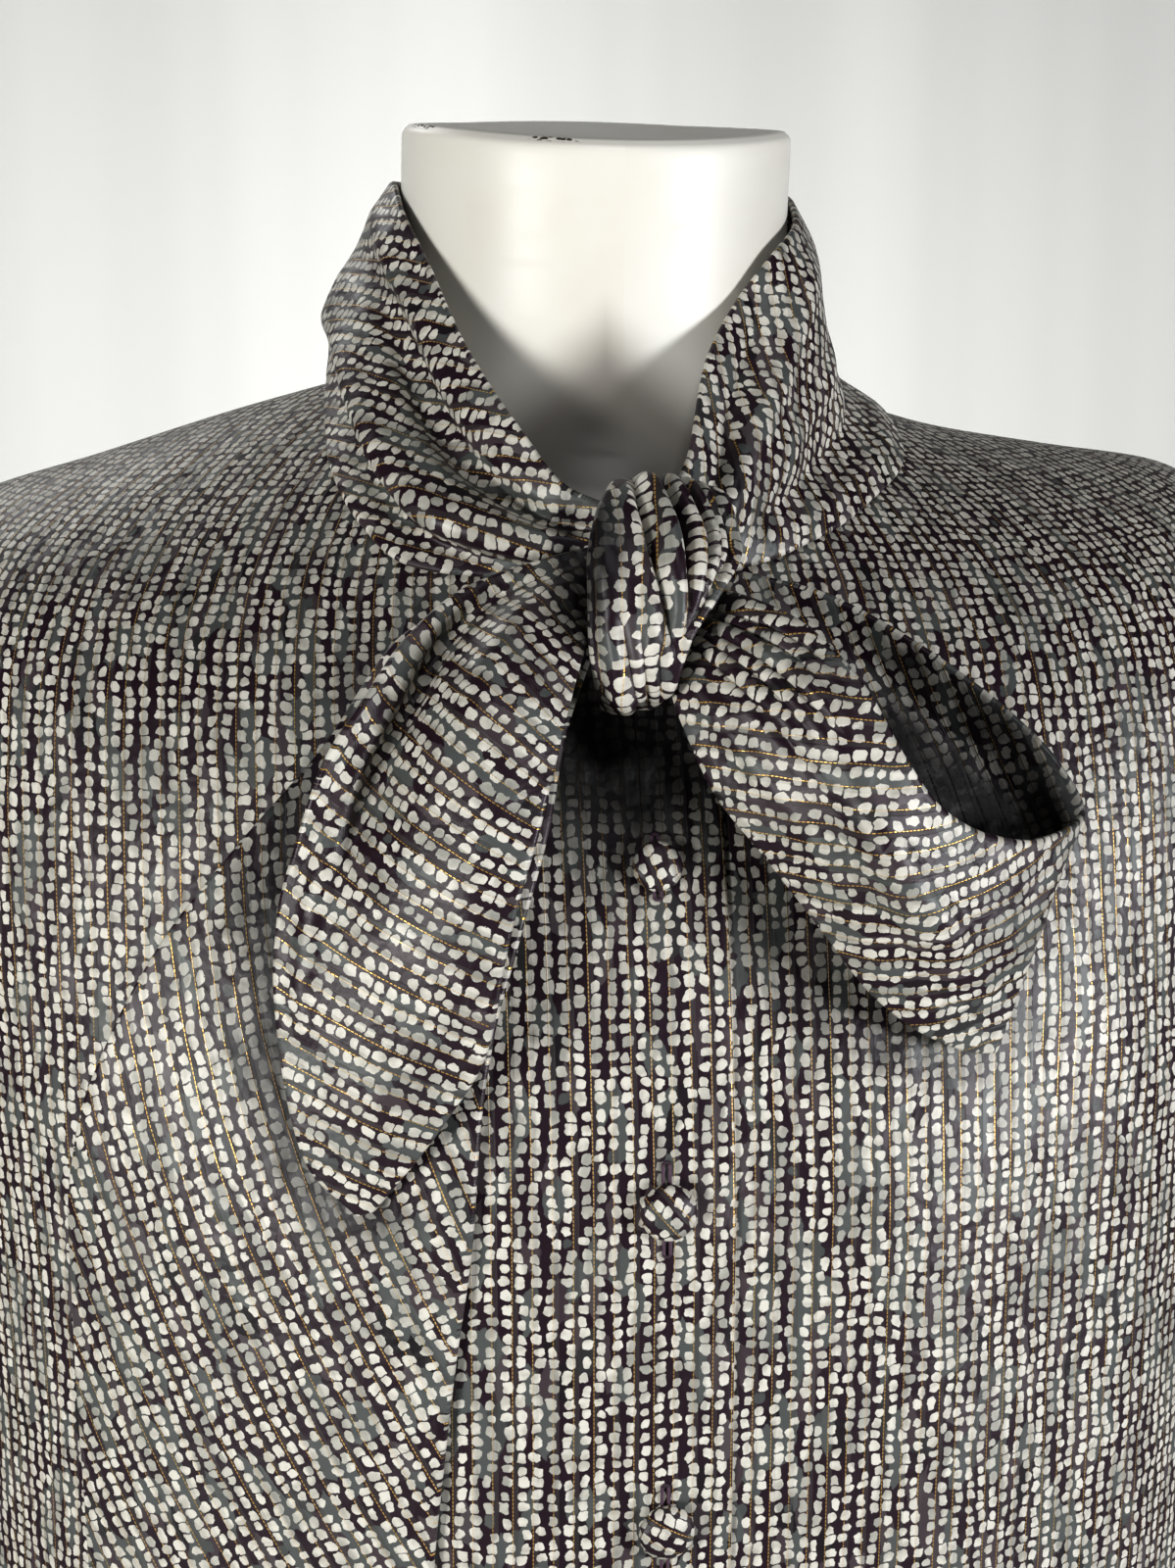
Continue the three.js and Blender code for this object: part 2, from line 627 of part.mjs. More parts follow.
add("dress_form", dressForm(), GLOSS);
add("front_right", frontPanel(-1, 0), CLOTH);
add("front_left", frontPanel(1, WALL + SEAM + 0.3), CLOTH);
add("back_panel", backPanel(), CLOTH);
add("sleeve_right", sleeve(-1), CLOTH);
add("sleeve_left", sleeve(1), CLOTH);
add("cuff_right", cuff(-1), CLOTH_DARK);
add("cuff_left", cuff(1), CLOTH_DARK);
add("collar_right", strip(20, 12, collarSurface(COLLAR_RIGHT, -1), -SEAM / 2), CLOTH);
add("collar_left", strip(20, 12, collarSurface(COLLAR_LEFT, 1), SEAM / 2), CLOTH);
add("tail_long", strip(26, 8, lying(TAIL_LONG)), CLOTH);
add("tail_short", strip(24, 10, lying(TAIL_SHORT)), CLOTH_DARK);
add("bow_loop", strip(34, 8, lying(LOOP)), CLOTH_DARK);
add("tie_knot", strip(14, 12, knotSurface), CLOTH);
BUTTONS.rows.forEach(([z, radius], n) => {
  const ring = ringAt(z);
  const angle = Math.asin(BUTTON_X / read(RINGS, "width", ring));
  const facing = normalOf(body, angle, ring).negate();
  add(`button_${n + 1}`, button(radius, offBody(angle, ring, SEAM + 0.3), facing), CLOTH_DARK);
});
for (const way of [-1, 1]) {
  const place = tubePoint(CUFF, way, 0.5, 0.75, -SEAM - 0.35);
  add(way < 0 ? "cuff_button_right" : "cuff_button_left",
    button(CUFF_BUTTON_RADIUS, place, new THREE.Vector3(0, 1, 0)), CLOTH_DARK);
}

export default group;
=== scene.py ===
"""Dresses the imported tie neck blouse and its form: cloth shells, print, gloss, light and camera.

Lengths are in millimetres until a mesh is made. X is the viewer's right, the front faces -Y and
Z is up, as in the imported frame. The blouse is worked out from rings round the body, and every
shell lies on the form of the solid that it stands for.
"""

import logging
import math
from dataclasses import dataclass
from enum import Enum
from typing import Callable, Sequence

import bmesh
import bpy
import numpy as np
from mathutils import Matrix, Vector


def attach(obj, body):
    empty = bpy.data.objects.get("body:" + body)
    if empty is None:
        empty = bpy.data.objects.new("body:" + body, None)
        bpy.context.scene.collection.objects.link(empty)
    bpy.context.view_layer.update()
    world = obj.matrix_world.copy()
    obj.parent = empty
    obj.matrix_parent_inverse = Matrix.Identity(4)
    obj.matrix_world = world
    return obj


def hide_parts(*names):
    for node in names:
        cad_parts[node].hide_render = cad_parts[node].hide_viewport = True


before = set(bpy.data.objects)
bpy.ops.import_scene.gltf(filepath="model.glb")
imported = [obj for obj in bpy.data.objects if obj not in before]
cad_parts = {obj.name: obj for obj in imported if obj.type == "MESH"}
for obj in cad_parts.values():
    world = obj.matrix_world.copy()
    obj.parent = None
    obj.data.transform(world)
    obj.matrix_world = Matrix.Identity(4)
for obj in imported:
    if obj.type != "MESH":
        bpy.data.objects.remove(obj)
LOG = logging.getLogger("blouse")
Array = np.ndarray

MM = 0.001
WELD = 1e-7
SHARP = math.radians(60)
CUT_LAYER = "cloth_cut"
WALL = 1.5
DOUBLE = 2.8
SEAM = 0.3
LAP = 17.0
SINGLE_THICK = 0.8
DOUBLE_THICK = 2.2
QUARTER = math.pi / 2
SHOULDER = 4
UNDERARM = 7
HEM = 13
BASE = 15
ROUNDNESS = 2.3
RING_DROP = 1.35
FLAT_ROWS = 28
FLAT_COLUMNS = 8
KNOT_MIDDLE = (-118, 716)
FRONT_AIM = (0.0, -0.05, 0.42)
FORM_EASE = WALL + 0.7
FRONT_EASE = FORM_EASE + WALL + 1.0


class Hold(Enum):
    HUNG = "hung"
    FOLDED = "folded"


class Side(Enum):
    """A side of the blouse as the viewer sees it; the value is its sign along X."""

    VIEWER_LEFT = -1
    VIEWER_RIGHT = 1

    @property
    def wearer(self) -> str:
        """The wearer's word for this side, as the nodes are named."""
        return "right" if self is Side.VIEWER_LEFT else "left"


def share_grid(rows: int, columns: int) -> tuple[Array, Array]:
    """Shares along and across a strip, for every corner of a grid."""
    along, across = np.linspace(0, 1, rows + 1), np.linspace(0, 1, columns + 1)
    grid = np.meshgrid(along, across, indexing="ij")
    return grid[0], grid[1]


def ease(value: Array, low: float, high: float) -> Array:
    """Smooth step from 0 at low to 1 at high.

    Args:
        value: The numbers to look at.
        low: Where the step starts.
        high: Where the step ends.

    Returns:
        Array: Shares from 0 to 1.
    """
    share = np.clip((np.asarray(value, float) - low) / (high - low), 0, 1)
    return share * share * (3 - 2 * share)


def curve(values: Array, at: Array) -> Array:
    """Smooth curve through values at 0, 1, 2 and so on, straight past either end.

    Args:
        values: One number per row, or one array of the shape of at per row.
        at: Where along the rows to read.

    Returns:
        Array: The curve's value at each place.
    """
    at = np.asarray(at, float)
    values = np.asarray(values, float)
    if values.ndim == 1:
        values = np.broadcast_to(values.reshape((-1,) + (1,) * at.ndim), (len(values), *at.shape))
    step = np.diff(values, axis=0)
    product = step[:-1] * step[1:]
    total = np.where(product > 0, step[:-1] + step[1:], 1.0)
    inner = np.where(product > 0, 2 * product / total, 0.0)
    slope = np.concatenate([step[:1], inner, step[-1:]])
    cell = np.clip(np.floor(at), 0, len(values) - 2).astype(int)
    share = np.clip(at - cell, 0, 1)
    past = at - cell - share

    def pick(rows: Array, number: Array) -> Array:
        """Takes one row's value for each place."""
        return np.take_along_axis(rows, number[None], 0)[0]

    rise = share * share * (3 - 2 * share)
    leave = share * (1 - share) ** 2
    arrive = share * share * (share - 1)
    inside = pick(values, cell) * (1 - rise) + pick(values, cell + 1) * rise
    inside = inside + leave * pick(slope, cell) + arrive * pick(slope, cell + 1)
    return inside + past * np.where(past < 0, slope[0], slope[-1])


def unit(vectors: Array) -> Array:
    """The same directions with length 1."""
    return vectors / np.maximum(np.linalg.norm(vectors, axis=-1, keepdims=True), 1e-12)


def grid_normals(points: Array) -> Array:
    """Unit normals of a grid of points, from its rows and columns.

    Args:
        points: Grid of shape (rows, columns, 3).

    Returns:
        Array: Normals of the same shape.
    """
    return unit(np.cross(np.gradient(points, axis=0), np.gradient(points, axis=1)))


@dataclass(frozen=True)
class Table:
    """Rows of sizes with named columns, read as smooth curves."""

    columns: tuple[str, ...]
    rows: tuple[tuple[float, ...], ...]

    @property
    def last(self) -> int:
        """Number of the last row."""
        return len(self.rows) - 1

    def read(self, name: str, at: Array) -> Array:
        """Value of a column at places along the rows.

        Args:
            name: The column.
            at: Row numbers, whole or between rows.

        Returns:
            Array: One value per place.
        """
        column = self.columns.index(name)
        return curve(np.array([row[column] for row in self.rows], float), at)


RINGS = Table(
    ("width", "front", "back", "leftZ", "rightZ", "frontZ", "backZ", "fold"),
    (
        (80, 93, 66, 770, 766, 722, 774, 0),
        (112, 101, 74, 761, 757, 711, 766, 0),
        (150, 110, 84, 749, 751, 699, 752, 0),
        (190, 119, 95, 736, 745, 684, 734, 0),
        (213, 128, 104, 717, 727, 663, 708, 0),
        (218, 139, 112, 670, 676, 632, 664, 0.2),
        (215, 148, 119, 612, 614, 592, 612, 0.6),
        (209, 154, 122, 550, 550, 545, 552, 1),
        (206, 154, 122, 490, 490, 490, 492, 1.4),
        (205, 152, 121, 425, 425, 425, 427, 2),
        (206, 147, 123, 350, 350, 350, 350, 2.8),
        (209, 144, 129, 265, 265, 265, 265, 3.8),
        (213, 140, 133, 180, 180, 180, 180, 5),
        (216, 139, 134, 110, 110, 110, 110, 6),
        (218, 139, 134, 50, 50, 50, 50, 6),
        (219, 139, 134, 0, 0, 0, 0, 6),
    ),
)

EASE = Table(
    ("side", "front", "back"),
    (
        (FORM_EASE, FRONT_EASE, FORM_EASE),
        (FORM_EASE, FRONT_EASE, FORM_EASE),
        (FORM_EASE, FRONT_EASE, FORM_EASE),
        (FORM_EASE, FRONT_EASE, FORM_EASE),
        (12, FRONT_EASE, 3),
        (30, 5, 5),
        (44, 6, 10),
        (50, 10, 20),
        (52, 20, 26),
        (58, 38, 36),
        (78, 56, 44),
        (62, 50, 34),
        (46, 42, 22),
        (46, 42, 24),
        (52, 44, 28),
        (58, 48, 32),
    ),
)

NECK = Table(
    ("width", "frontY", "backY", "sideZ", "frontZ", "backZ"),
    (
        (70, -79, 57, 775, 736, 781),
        (63.5, -71, 52, 786, 760, 794),
        (60.3, -68, 48, 800, 784, 808),
        (58.8, -69, 42, 820, 809, 828),
        (58.5, -71, 34, 842, 832, 850),
        (56.5, -69, 32, 845, 835.5, 853),
    ),
)

TUBE = ("outX", "outZ", "inX", "inZ", "midY", "depth")
SLEEVE = Table(
    TUBE,
    (
        (229, 719, 213.5, 541, -9, 46),
        (252, 703, 215, 520, -3, 56),
        (276, 674, 217, 494, 1, 61),
        (297, 630, 219, 462, 3, 62),
        (311, 570, 222, 424, 4, 60),
        (321, 500, 226, 382, 5, 58),
        (328, 425, 232, 338, 5, 56),
        (333, 350, 240, 292, 5, 54),
        (336, 280, 249, 246, 5, 51),
        (337, 222, 258, 206, 5, 46),
        (335, 184, 267, 178, 5, 38),
    ),
)
CUFF = Table(TUBE, ((338, 183.4, 264, 176.6, 5, 40.5), (340, 121, 267, 115, 5, 40)))

COLLAR_SWELLS = ("flare", "rise", "roll", "valley", "band")
COLLAR = ("angle", "ring", "topX", "topY", "topZ", *COLLAR_SWELLS)
COLLAR_RIGHT = Table(
    COLLAR,
    (
        (180, 0.2, 0, 60, 829, 2, 4, 4, 3, 1),
        (148, 0.2, 33, 50, 830, 2, 5, 6, 4, 2),
        (118, 0.1, 54, 24, 831, 2, 5, 7, 4, 3),
        (92, 0, 60.5, -3, 829, 2.5, 8, 7, 3.5, 3),
        (72, 0.15, 60, -28, 820, -2, 4, 2, -2.5, 1),
        (56, 0.45, 54, -48, 803, -3, 3, -1, -6, -1),
        (43, 0.75, 45.5, -70, 779, -3, 5, 1, -7.5, -1),
        (32, 1, 33, -92, 756, -2, 6, 4, -7, 0),
        (20, 0.8, 20.5, -102, 740, 0, 4, 3, -3, 0),
        (4, 0.55, 4.5, -106.5, 734, 1, 2, 1.5, 1, 0.5),
    ),
)
COLLAR_LEFT = Table(
    COLLAR,
    (
        (180, 0.2, 0, 60, 829, 2, 4, 4, 3, 1),
        (148, 0.3, 33, 50, 830, 1, 4, 6, 4, 2),
        (118, 0.3, 54, 24, 831, -3, 1, 3, 2, 1),
        (95, 0.3, 62, -3, 827, -10, -8.5, -5.5, -2, 1.5),
        (77, 0.4, 58.5, -32, 817, -10, -9.5, -7, -3, 0.5),
        (62, 0.5, 47.5, -52, 806, -8, -7, -4, 0, 2),
        (46, 0.4, 34, -62, 791, -5, -4, 0, 3, 3),
        (32, 0.4, 22.5, -77, 774, -1, 2, 5, 5, 2),
        (20, 0.5, 13.5, -97, 748, 1, 3, 4, 3, 1),
        (4, 0.55, 4.5, -106.5, 734, 1, 2, 1.5, 1, 0.5),
    ),
)

STRIP_SWELLS = ("low", "middle", "high")
STRIP = ("x0", "z0", "lift0", "x1", "z1", "lift1", *STRIP_SWELLS)
TAIL_SHORT = Table(
    STRIP,
    (
        (-9, 727, 30, -5, 714, 20, 0, 1, 0),
        (-26, 723, 27, -13, 710, 24, 1, 3, 1),
        (-48.5, 715.5, 25, -19, 707, 28, -2, 4, 2),
        (-66, 704, 29, -24, 698, 32, -8, 4, 4),
        (-78, 689, 30, -28.5, 687, 34, -11, 2, 5),
        (-88, 674, 27, -33, 673, 34, -10, 1, 5),
        (-95, 654, 20, -37.5, 658, 33, -5, 1, 4),
        (-100, 636, 15, -42, 644, 30, -1, 2, 3),
        (-101.5, 618, 12.5, -46, 628, 26, 1, 2, 2),
        (-100, 596, 10, -51, 603, 20, 1, 2, 1),
        (-94.5, 571, 7.4, -61.5, 583, 13, 0.5, 1, 0.5),
        (-82, 557.5, 6.2, -78.5, 559, 6.4, 0, 0, 0),
    ),
)
TAIL_LONG = Table(
    STRIP,
    (
        (-9, 723, 20, -5, 711, 13, 0, 0, 0),
        (-36, 715, 14, -14, 704, 10, 0, 1, 0),
        (-64.5, 703, 7, -20, 692, 7, 0, 0, 0),
        (-88, 674, 4.6, -26, 676, 4.6, -1, 0, 1),
        (-110, 650, 3.6, -31, 655, 4, -1, 0, 1),
        (-130, 625, 3, -40, 627, 3.4, -0.4, 0, 0.4),
        (-145, 598, 2.8, -47.5, 602, 2.8, 0, 0, 0),
        (-154.5, 572, 2.8, -51.5, 579, 2.6, 0, 0, 0),
        (-158, 544, 2.8, -54.5, 546, 2.6, 0, 0, 0),
        (-158, 507, 2.8, -59, 514, 2.6, 0, 0, 0),
        (-157, 460, 2.8, -64, 470, 2.6, 0, 0, 0),
        (-156, 412, 2.8, -69, 420, 2.6, 0, 0, 0),
        (-149, 378, 2.8, -84, 398, 2.6, 0, 0, 0),
        (-140, 358, 2.8, -136, 359, 2.8, 0, 0, 0),
    ),
)
LOOP = Table(
    STRIP,
    (
        (6, 716, 13, 2, 703, 13, 0, 1, 0),
        (18, 714, 30, 2.5, 690, 20, 2, 3, 2),
        (30, 709.5, 41, 6.5, 676.5, 21, 4, 5, 3),
        (39, 702, 46, 12, 664.5, 20, 5, 7, 4),
        (46.5, 691.5, 49, 24.5, 648.5, 18, 5, 8, 5),
        (54.5, 676, 47, 39, 629.5, 15, 5, 8, 5),
        (64.5, 662.5, 42, 53, 611.5, 12.5, 4, 7, 4),
        (80, 653.5, 34, 68.5, 599.5, 10, 3, 5, 3),
        (95.5, 650, 27, 82, 593.5, 8, 1, 3, 1),
        (108, 651.5, 21.5, 88.5, 592.5, 7.2, 0, 0.5, 0),
        (113.5, 656, 19.5, 88.5, 597, 5, -2, -1, 0),
        (106.5, 668.5, 19.5, 81, 611, 2.4, -7, -4, -1.5),
        (92, 683, 20, 68, 628, 2.4, -10.5, -6.5, -2.5),
        (78.5, 693.5, 20, 51, 645, 2.4, -10.5, -6.5, -2.5),
        (63, 704, 18, 36, 662, 2.4, -8.5, -5, -2),
        (46, 712.5, 15, 24, 680, 3, -5, -3, -1),
        (26, 717.5, 10, 13, 698, 6, -1, 0, 0),
    ),
)
KNOT = Table(
    ("x0", "y0", "z0", "x1", "y1", "z1", *STRIP_SWELLS),
    (
        (-9, -107.3, 736.2, 12, -107.3, 736.2, 0, 0, 0),
        (-11, -121, 742.5, 17, -121, 740, 2, 2, 2),
        (-16, -132, 737, 20, -131, 727, 3, 3, 3),
        (-20, -140, 722, 13, -141, 716, 3, 4, 3),
        (-20, -141, 706, 4, -145, 703, 3, 4, 2),
        (-18, -139, 692, 0, -142, 690, 2, 3, 1),
        (-15, -130, 685, -3, -130, 685, 1, 1, 0),
    ),
)


@dataclass(frozen=True)
class Crease:
    """A soft ridge, or a trough where rise is below 0, along a bent line on a piece of cloth."""

    start: tuple[float, float]
    bend: tuple[float, float]
    end: tuple[float, float]
    width: float
    rise: float

    def line(self, count: int = 28) -> Array:
        """Points along the crease in the coordinates it was placed in.

        Args:
            count: How many points.

        Returns:
            Array: Points of shape (count, 2).
        """
        share = np.linspace(0, 1, count)[:, None]
        start, bend, end = (np.array(p, float) for p in (self.start, self.bend, self.end))
        return start * (1 - share) ** 2 + 2 * bend * share * (1 - share) + end * share**2

    def height(self, places: Array, line: Array) -> Array:
        """How far the crease lifts the cloth at places.

        Args:
            places: Points of shape (..., 2), in mm.
            line: The crease's points in the same plane, in mm.

        Returns:
            Array: Lift in mm at each place.
        """
        best = np.full(places.shape[:-1], np.inf)
        along = np.zeros(places.shape[:-1])
        last = len(line) - 1
        for number in range(last):
            reach = line[number + 1] - line[number]
            share = np.clip(((places - line[number]) @ reach) / max(reach @ reach, 1e-9), 0, 1)
            away = np.linalg.norm(places - line[number] - share[..., None] * reach, axis=-1)
            nearer = away < best
            best = np.where(nearer, away, best)
            along = np.where(nearer, (number + share) / last, along)
        fade = np.sin(math.pi * np.clip(0.04 + 0.92 * along, 0, 1)) ** 0.7
        return self.rise * fade * np.exp(-((best / self.width) ** 2))


def relief(creases: Sequence[Crease], places: Array, where: Callable[[Array], Array] = np.asarray) -> Array:
    """Adds up what a piece's creases do.

    Args:
        creases: The creases.
        places: Points of the cloth in a plane, in mm, of shape (..., 2).
        where: Turns a crease's own coordinates into that plane.

    Returns:
        Array: Lift in mm at each place.
    """
    total = np.zeros(places.shape[:-1])
    for crease in creases:
        total = total + crease.height(places, where(crease.line()))
    return total


class Body:
    """The outside of the blouse round the form, as a surface of an angle and a ring."""

    def plain(self, angle: Array, ring: Array) -> Array:
        """Points of the surface without its folds.

        Args:
            angle: Angles from the centre front toward +X.
            ring: Ring numbers from the neckline down.

        Returns:
            Array: Points of shape (..., 3).
        """
        s, c = np.sin(angle), np.cos(angle)
        reach = (np.abs(s) ** ROUNDNESS + np.abs(c) ** ROUNDNESS) ** (-1 / ROUNDNESS)
        depth = np.where(c > 0, RINGS.read("front", ring), RINGS.read("back", ring))
        side = np.where(s < 0, RINGS.read("leftZ", ring), RINGS.read("rightZ", ring))
        end = np.where(c > 0, RINGS.read("frontZ", ring), RINGS.read("backZ", ring))
        height = side + (end - side) * (reach * np.abs(c)) ** RING_DROP
        return np.stack([RINGS.read("width", ring) * reach * s, -depth * reach * c, height], -1)

    def point(self, angle: Array, ring: Array) -> Array:
        """Points of the surface with the soft vertical folds of its solid."""
        point = self.plain(angle, ring)
        hang = 0.6 * np.cos(7 * angle + 0.8) + 0.4 * np.cos(11 * angle + 2.1)
        away = np.hypot(point[..., 0], point[..., 1])
        scale = 1 + RINGS.read("fold", ring) * hang / away
        return point * np.stack([scale, scale, np.ones_like(scale)], -1)

    def outward(self, angle: Array, ring: Array, surface: Callable | None = None) -> Array:
        """Outward unit normals.

        Args:
            angle: Angles from the centre front.
            ring: Ring numbers.
            surface: The surface to take, with its folds if none is given.

        Returns:
            Array: Normals of shape (..., 3).
        """
        surface = surface or self.point
        step = 1e-3
        by_angle = surface(angle + step, ring) - surface(angle - step, ring)
        by_ring = surface(angle, ring + step) - surface(angle, ring - step)
        return unit(np.cross(by_ring, by_angle))

    def off(self, angle: Array, ring: Array, distance: Array, surface: Callable | None = None) -> Array:
        """Points off the surface along its outward normal.

        Args:
            angle: Angles from the centre front.
            ring: Ring numbers.
            distance: How far out, in mm, below 0 for inward.
            surface: The surface to take, with its folds if none is given.

        Returns:
            Array: Points of shape (..., 3).
        """
        angle, ring = np.broadcast_arrays(np.asarray(angle, float), np.asarray(ring, float))
        outward = self.outward(angle, ring, surface)
        return (surface or self.point)(angle, ring) + outward * np.asarray(distance, float)[..., None]

    def locate(self, x: Array, z: Array) -> tuple[Array, Array]:
        """Angle and ring of the point of the front at x and z.

        Args:
            x: Distances to the viewer's right, in mm.
            z: Heights, in mm.

        Returns:
            tuple[Array, Array]: Angles and ring numbers.
        """
        angle = np.arcsin(np.clip(x / 200, -0.9, 0.9))
        ring = np.clip(6 + (600 - z) / 30, -1, 12)
        step = 1e-3
        for _ in range(24):
            here = self.point(angle, ring)
            dx, dz = x - here[..., 0], z - here[..., 2]
            by_angle = (self.point(angle + step, ring) - here) / step
            by_ring = (self.point(angle, ring + step) - here) / step
            area = by_angle[..., 0] * by_ring[..., 2] - by_ring[..., 0] * by_angle[..., 2]
            area = np.where(np.abs(area) < 1e-6, 1e-6, area)
            angle = angle + np.clip((dx * by_ring[..., 2] - dz * by_ring[..., 0]) / area, -0.3, 0.3)
            turn = np.clip((dz * by_angle[..., 0] - dx * by_angle[..., 2]) / area, -0.8, 0.8)
            ring = np.maximum(ring + turn, -1.6)
        return angle, ring

    def front_y(self, x: Array, z: Array) -> Array:
        """Y of the front of the blouse at x and z."""
        return self.point(*self.locate(x, z))[..., 1]


BODY = Body()


@dataclass
class CutMap:
    """Where each point of a body panel lay in the flat cloth, measured from a centre line.

    The warp runs straight down from the shoulder: a thread stays at one distance from the centre
    line, and lengths are counted along it from the ring where the cloth hangs plumb.
    """

    centre: float
    plumb: int = 9
    ring_step: float = 0.125
    reach: float = 420.0
    spacing: float = 6.0

    def __post_init__(self) -> None:
        """Measures the body once."""
        self.rings = np.arange(-1, HEM + 1, self.ring_step)
        self.angles = np.linspace(-QUARTER * 1.15, QUARTER * 1.15, 241)
        angle, ring = np.meshgrid(self.angles + self.centre, self.rings)
        points = BODY.plain(angle, ring)
        steps = np.linalg.norm(np.diff(points, axis=1), axis=-1)
        across = np.concatenate([np.zeros((len(self.rings), 1)), np.cumsum(steps, axis=1)], axis=1)
        middle = len(self.angles) // 2
        self.across = across - across[:, middle : middle + 1]
        self.warps = np.arange(-self.reach, self.reach + 1, self.spacing)
        lines = np.empty((len(self.rings), len(self.warps), 3))
        for row in range(len(self.rings)):
            for axis in range(3):
                lines[row, :, axis] = np.interp(self.warps, self.across[row], points[row, :, axis])
        along = np.linalg.norm(np.diff(lines, axis=0), axis=-1)
        down = np.concatenate([np.zeros((1, len(self.warps))), np.cumsum(along, axis=0)])
        self.down = down - down[int(round((self.plumb + 1) / self.ring_step))]

    def place(self, angle: Array, ring: Array) -> Array:
        """Cloth coordinates of points of the body.

        Args:
            angle: Angles from the centre front, of shape (rows, columns).
            ring: Ring numbers of the same shape.

        Returns:
            Array: Distance from the centre line and length up the warp, in mm.
        """
        row = np.clip((ring + 1) / self.ring_step, 0, len(self.rings) - 1.001)
        low = row.astype(int)
        share = row - low
        column = np.clip(
            (angle - self.centre - self.angles[0]) / (self.angles[1] - self.angles[0]),
            0,
            len(self.angles) - 1.001,
        )
        left = column.astype(int)
        part = column - left

        def read(values: Array, a: Array, b: Array, rest: Array) -> Array:
            """Reads a grid between four of its points."""
            upper = values[a, b] * (1 - rest) + values[a, b + 1] * rest
            lower = values[a + 1, b] * (1 - rest) + values[a + 1, b + 1] * rest
            return upper * (1 - share) + lower * share

        warp = read(self.across, low, left, part)
        thread = np.clip((warp + self.reach) / self.spacing, 0, len(self.warps) - 1.001)
        down = read(self.down, low, thread.astype(int), thread - thread.astype(int))
        return np.stack([warp, -down], -1)


def lay_flat(points: Array, rounds: int = 1600) -> Array:
    """Finds where a grid of points on bent cloth lies once the cloth is laid flat.

    Args:
        points: Grid of shape (rows, columns, 3), in mm.
        rounds: How often the flat grid is eased toward the true lengths.

    Returns:
        Array: Grid of shape (rows, columns, 2): across from the first edge, and along.
    """
    rows, columns = points.shape[:2]
    along = np.linalg.norm(np.diff(points, axis=0), axis=-1).mean(1)
    across = np.linalg.norm(np.diff(points, axis=1), axis=-1)
    widths = np.concatenate([np.zeros((rows, 1)), np.cumsum(across, axis=1)], axis=1)
    length = np.concatenate([[0], np.cumsum(along)])
    flat = np.stack([widths, np.repeat(length[:, None], columns, axis=1)], -1)
    links = ((1, 0), (0, 1), (1, 1), (1, -1))
    slots = []
    for down, right in links:
        first = (slice(0, rows - down), slice(max(0, -right), columns - max(0, right)))
        second = (slice(down, rows), slice(max(0, right), columns + min(0, right)))
        slots.append((first, second, np.linalg.norm(points[second] - points[first], axis=-1)))
    for _ in range(rounds):
        shift = np.zeros_like(flat)
        count = np.zeros((rows, columns, 1))
        for first, second, rest in slots:
            away = flat[second] - flat[first]
            length_now = np.maximum(np.linalg.norm(away, axis=-1), 1e-6)
            pull = 0.5 * (1 - rest / length_now)[..., None] * away
            shift[first] += pull
            shift[second] -= pull
            count[first] += 1
            count[second] += 1
        flat = flat + 1.6 * shift / count
    return flat


def resample(grid: Array, rows: Array, columns: Array) -> Array:
    """Reads a coarse grid at fractional rows and columns.

    Args:
        grid: Values of shape (coarse rows, coarse columns, parts).
        rows: Fractional row numbers, of any shape.
        columns: Fractional column numbers of the same shape.

    Returns:
        Array: Values of shape (..., parts).
    """
    parts = []
    for part in range(grid.shape[2]):
        at_columns = np.stack([curve(grid[row, :, part], columns) for row in range(grid.shape[0])])
        parts.append(curve(at_columns, rows))
    return np.stack(parts, -1)


def rounded_section(outer: Array, inner: Array) -> Array:
    """Joins two faces of a shell by rounded edges into one closed section per row.

    Args:
        outer: Outer face of shape (rows, columns, 3).
        inner: Inner face of the same shape.

    Returns:
        Array: Closed sections of shape (rows, points, 3).
    """

    def edge(side: int, neighbour: int, turns: Sequence[float]) -> Array:
        """Points round one edge of every row."""
        middle = (outer[:, side] + inner[:, side]) / 2
        before = (outer[:, neighbour] + inner[:, neighbour]) / 2
        half = (outer[:, side] - inner[:, side]) / 2
        out = unit(middle - before)
        radius = np.linalg.norm(half, axis=-1, keepdims=True)
        return np.stack([middle + half * math.cos(t) + out * radius * math.sin(t) for t in turns], 1)

    turns = [math.pi * n / 4 for n in (1, 2, 3)]
    last = outer.shape[1] - 1
    return np.concatenate(
        [outer, edge(last, last - 1, turns), inner[:, ::-1], edge(0, 1, turns[::-1])],
        axis=1,
    )


def section_cut(cut: Array) -> Array:
    """Cloth coordinates of a rounded section's points, from those of its face."""
    last = np.repeat(cut[:, -1:], 3, axis=1)
    first = np.repeat(cut[:, :1], 3, axis=1)
    return np.concatenate([cut, last, cut[:, ::-1], first], axis=1)


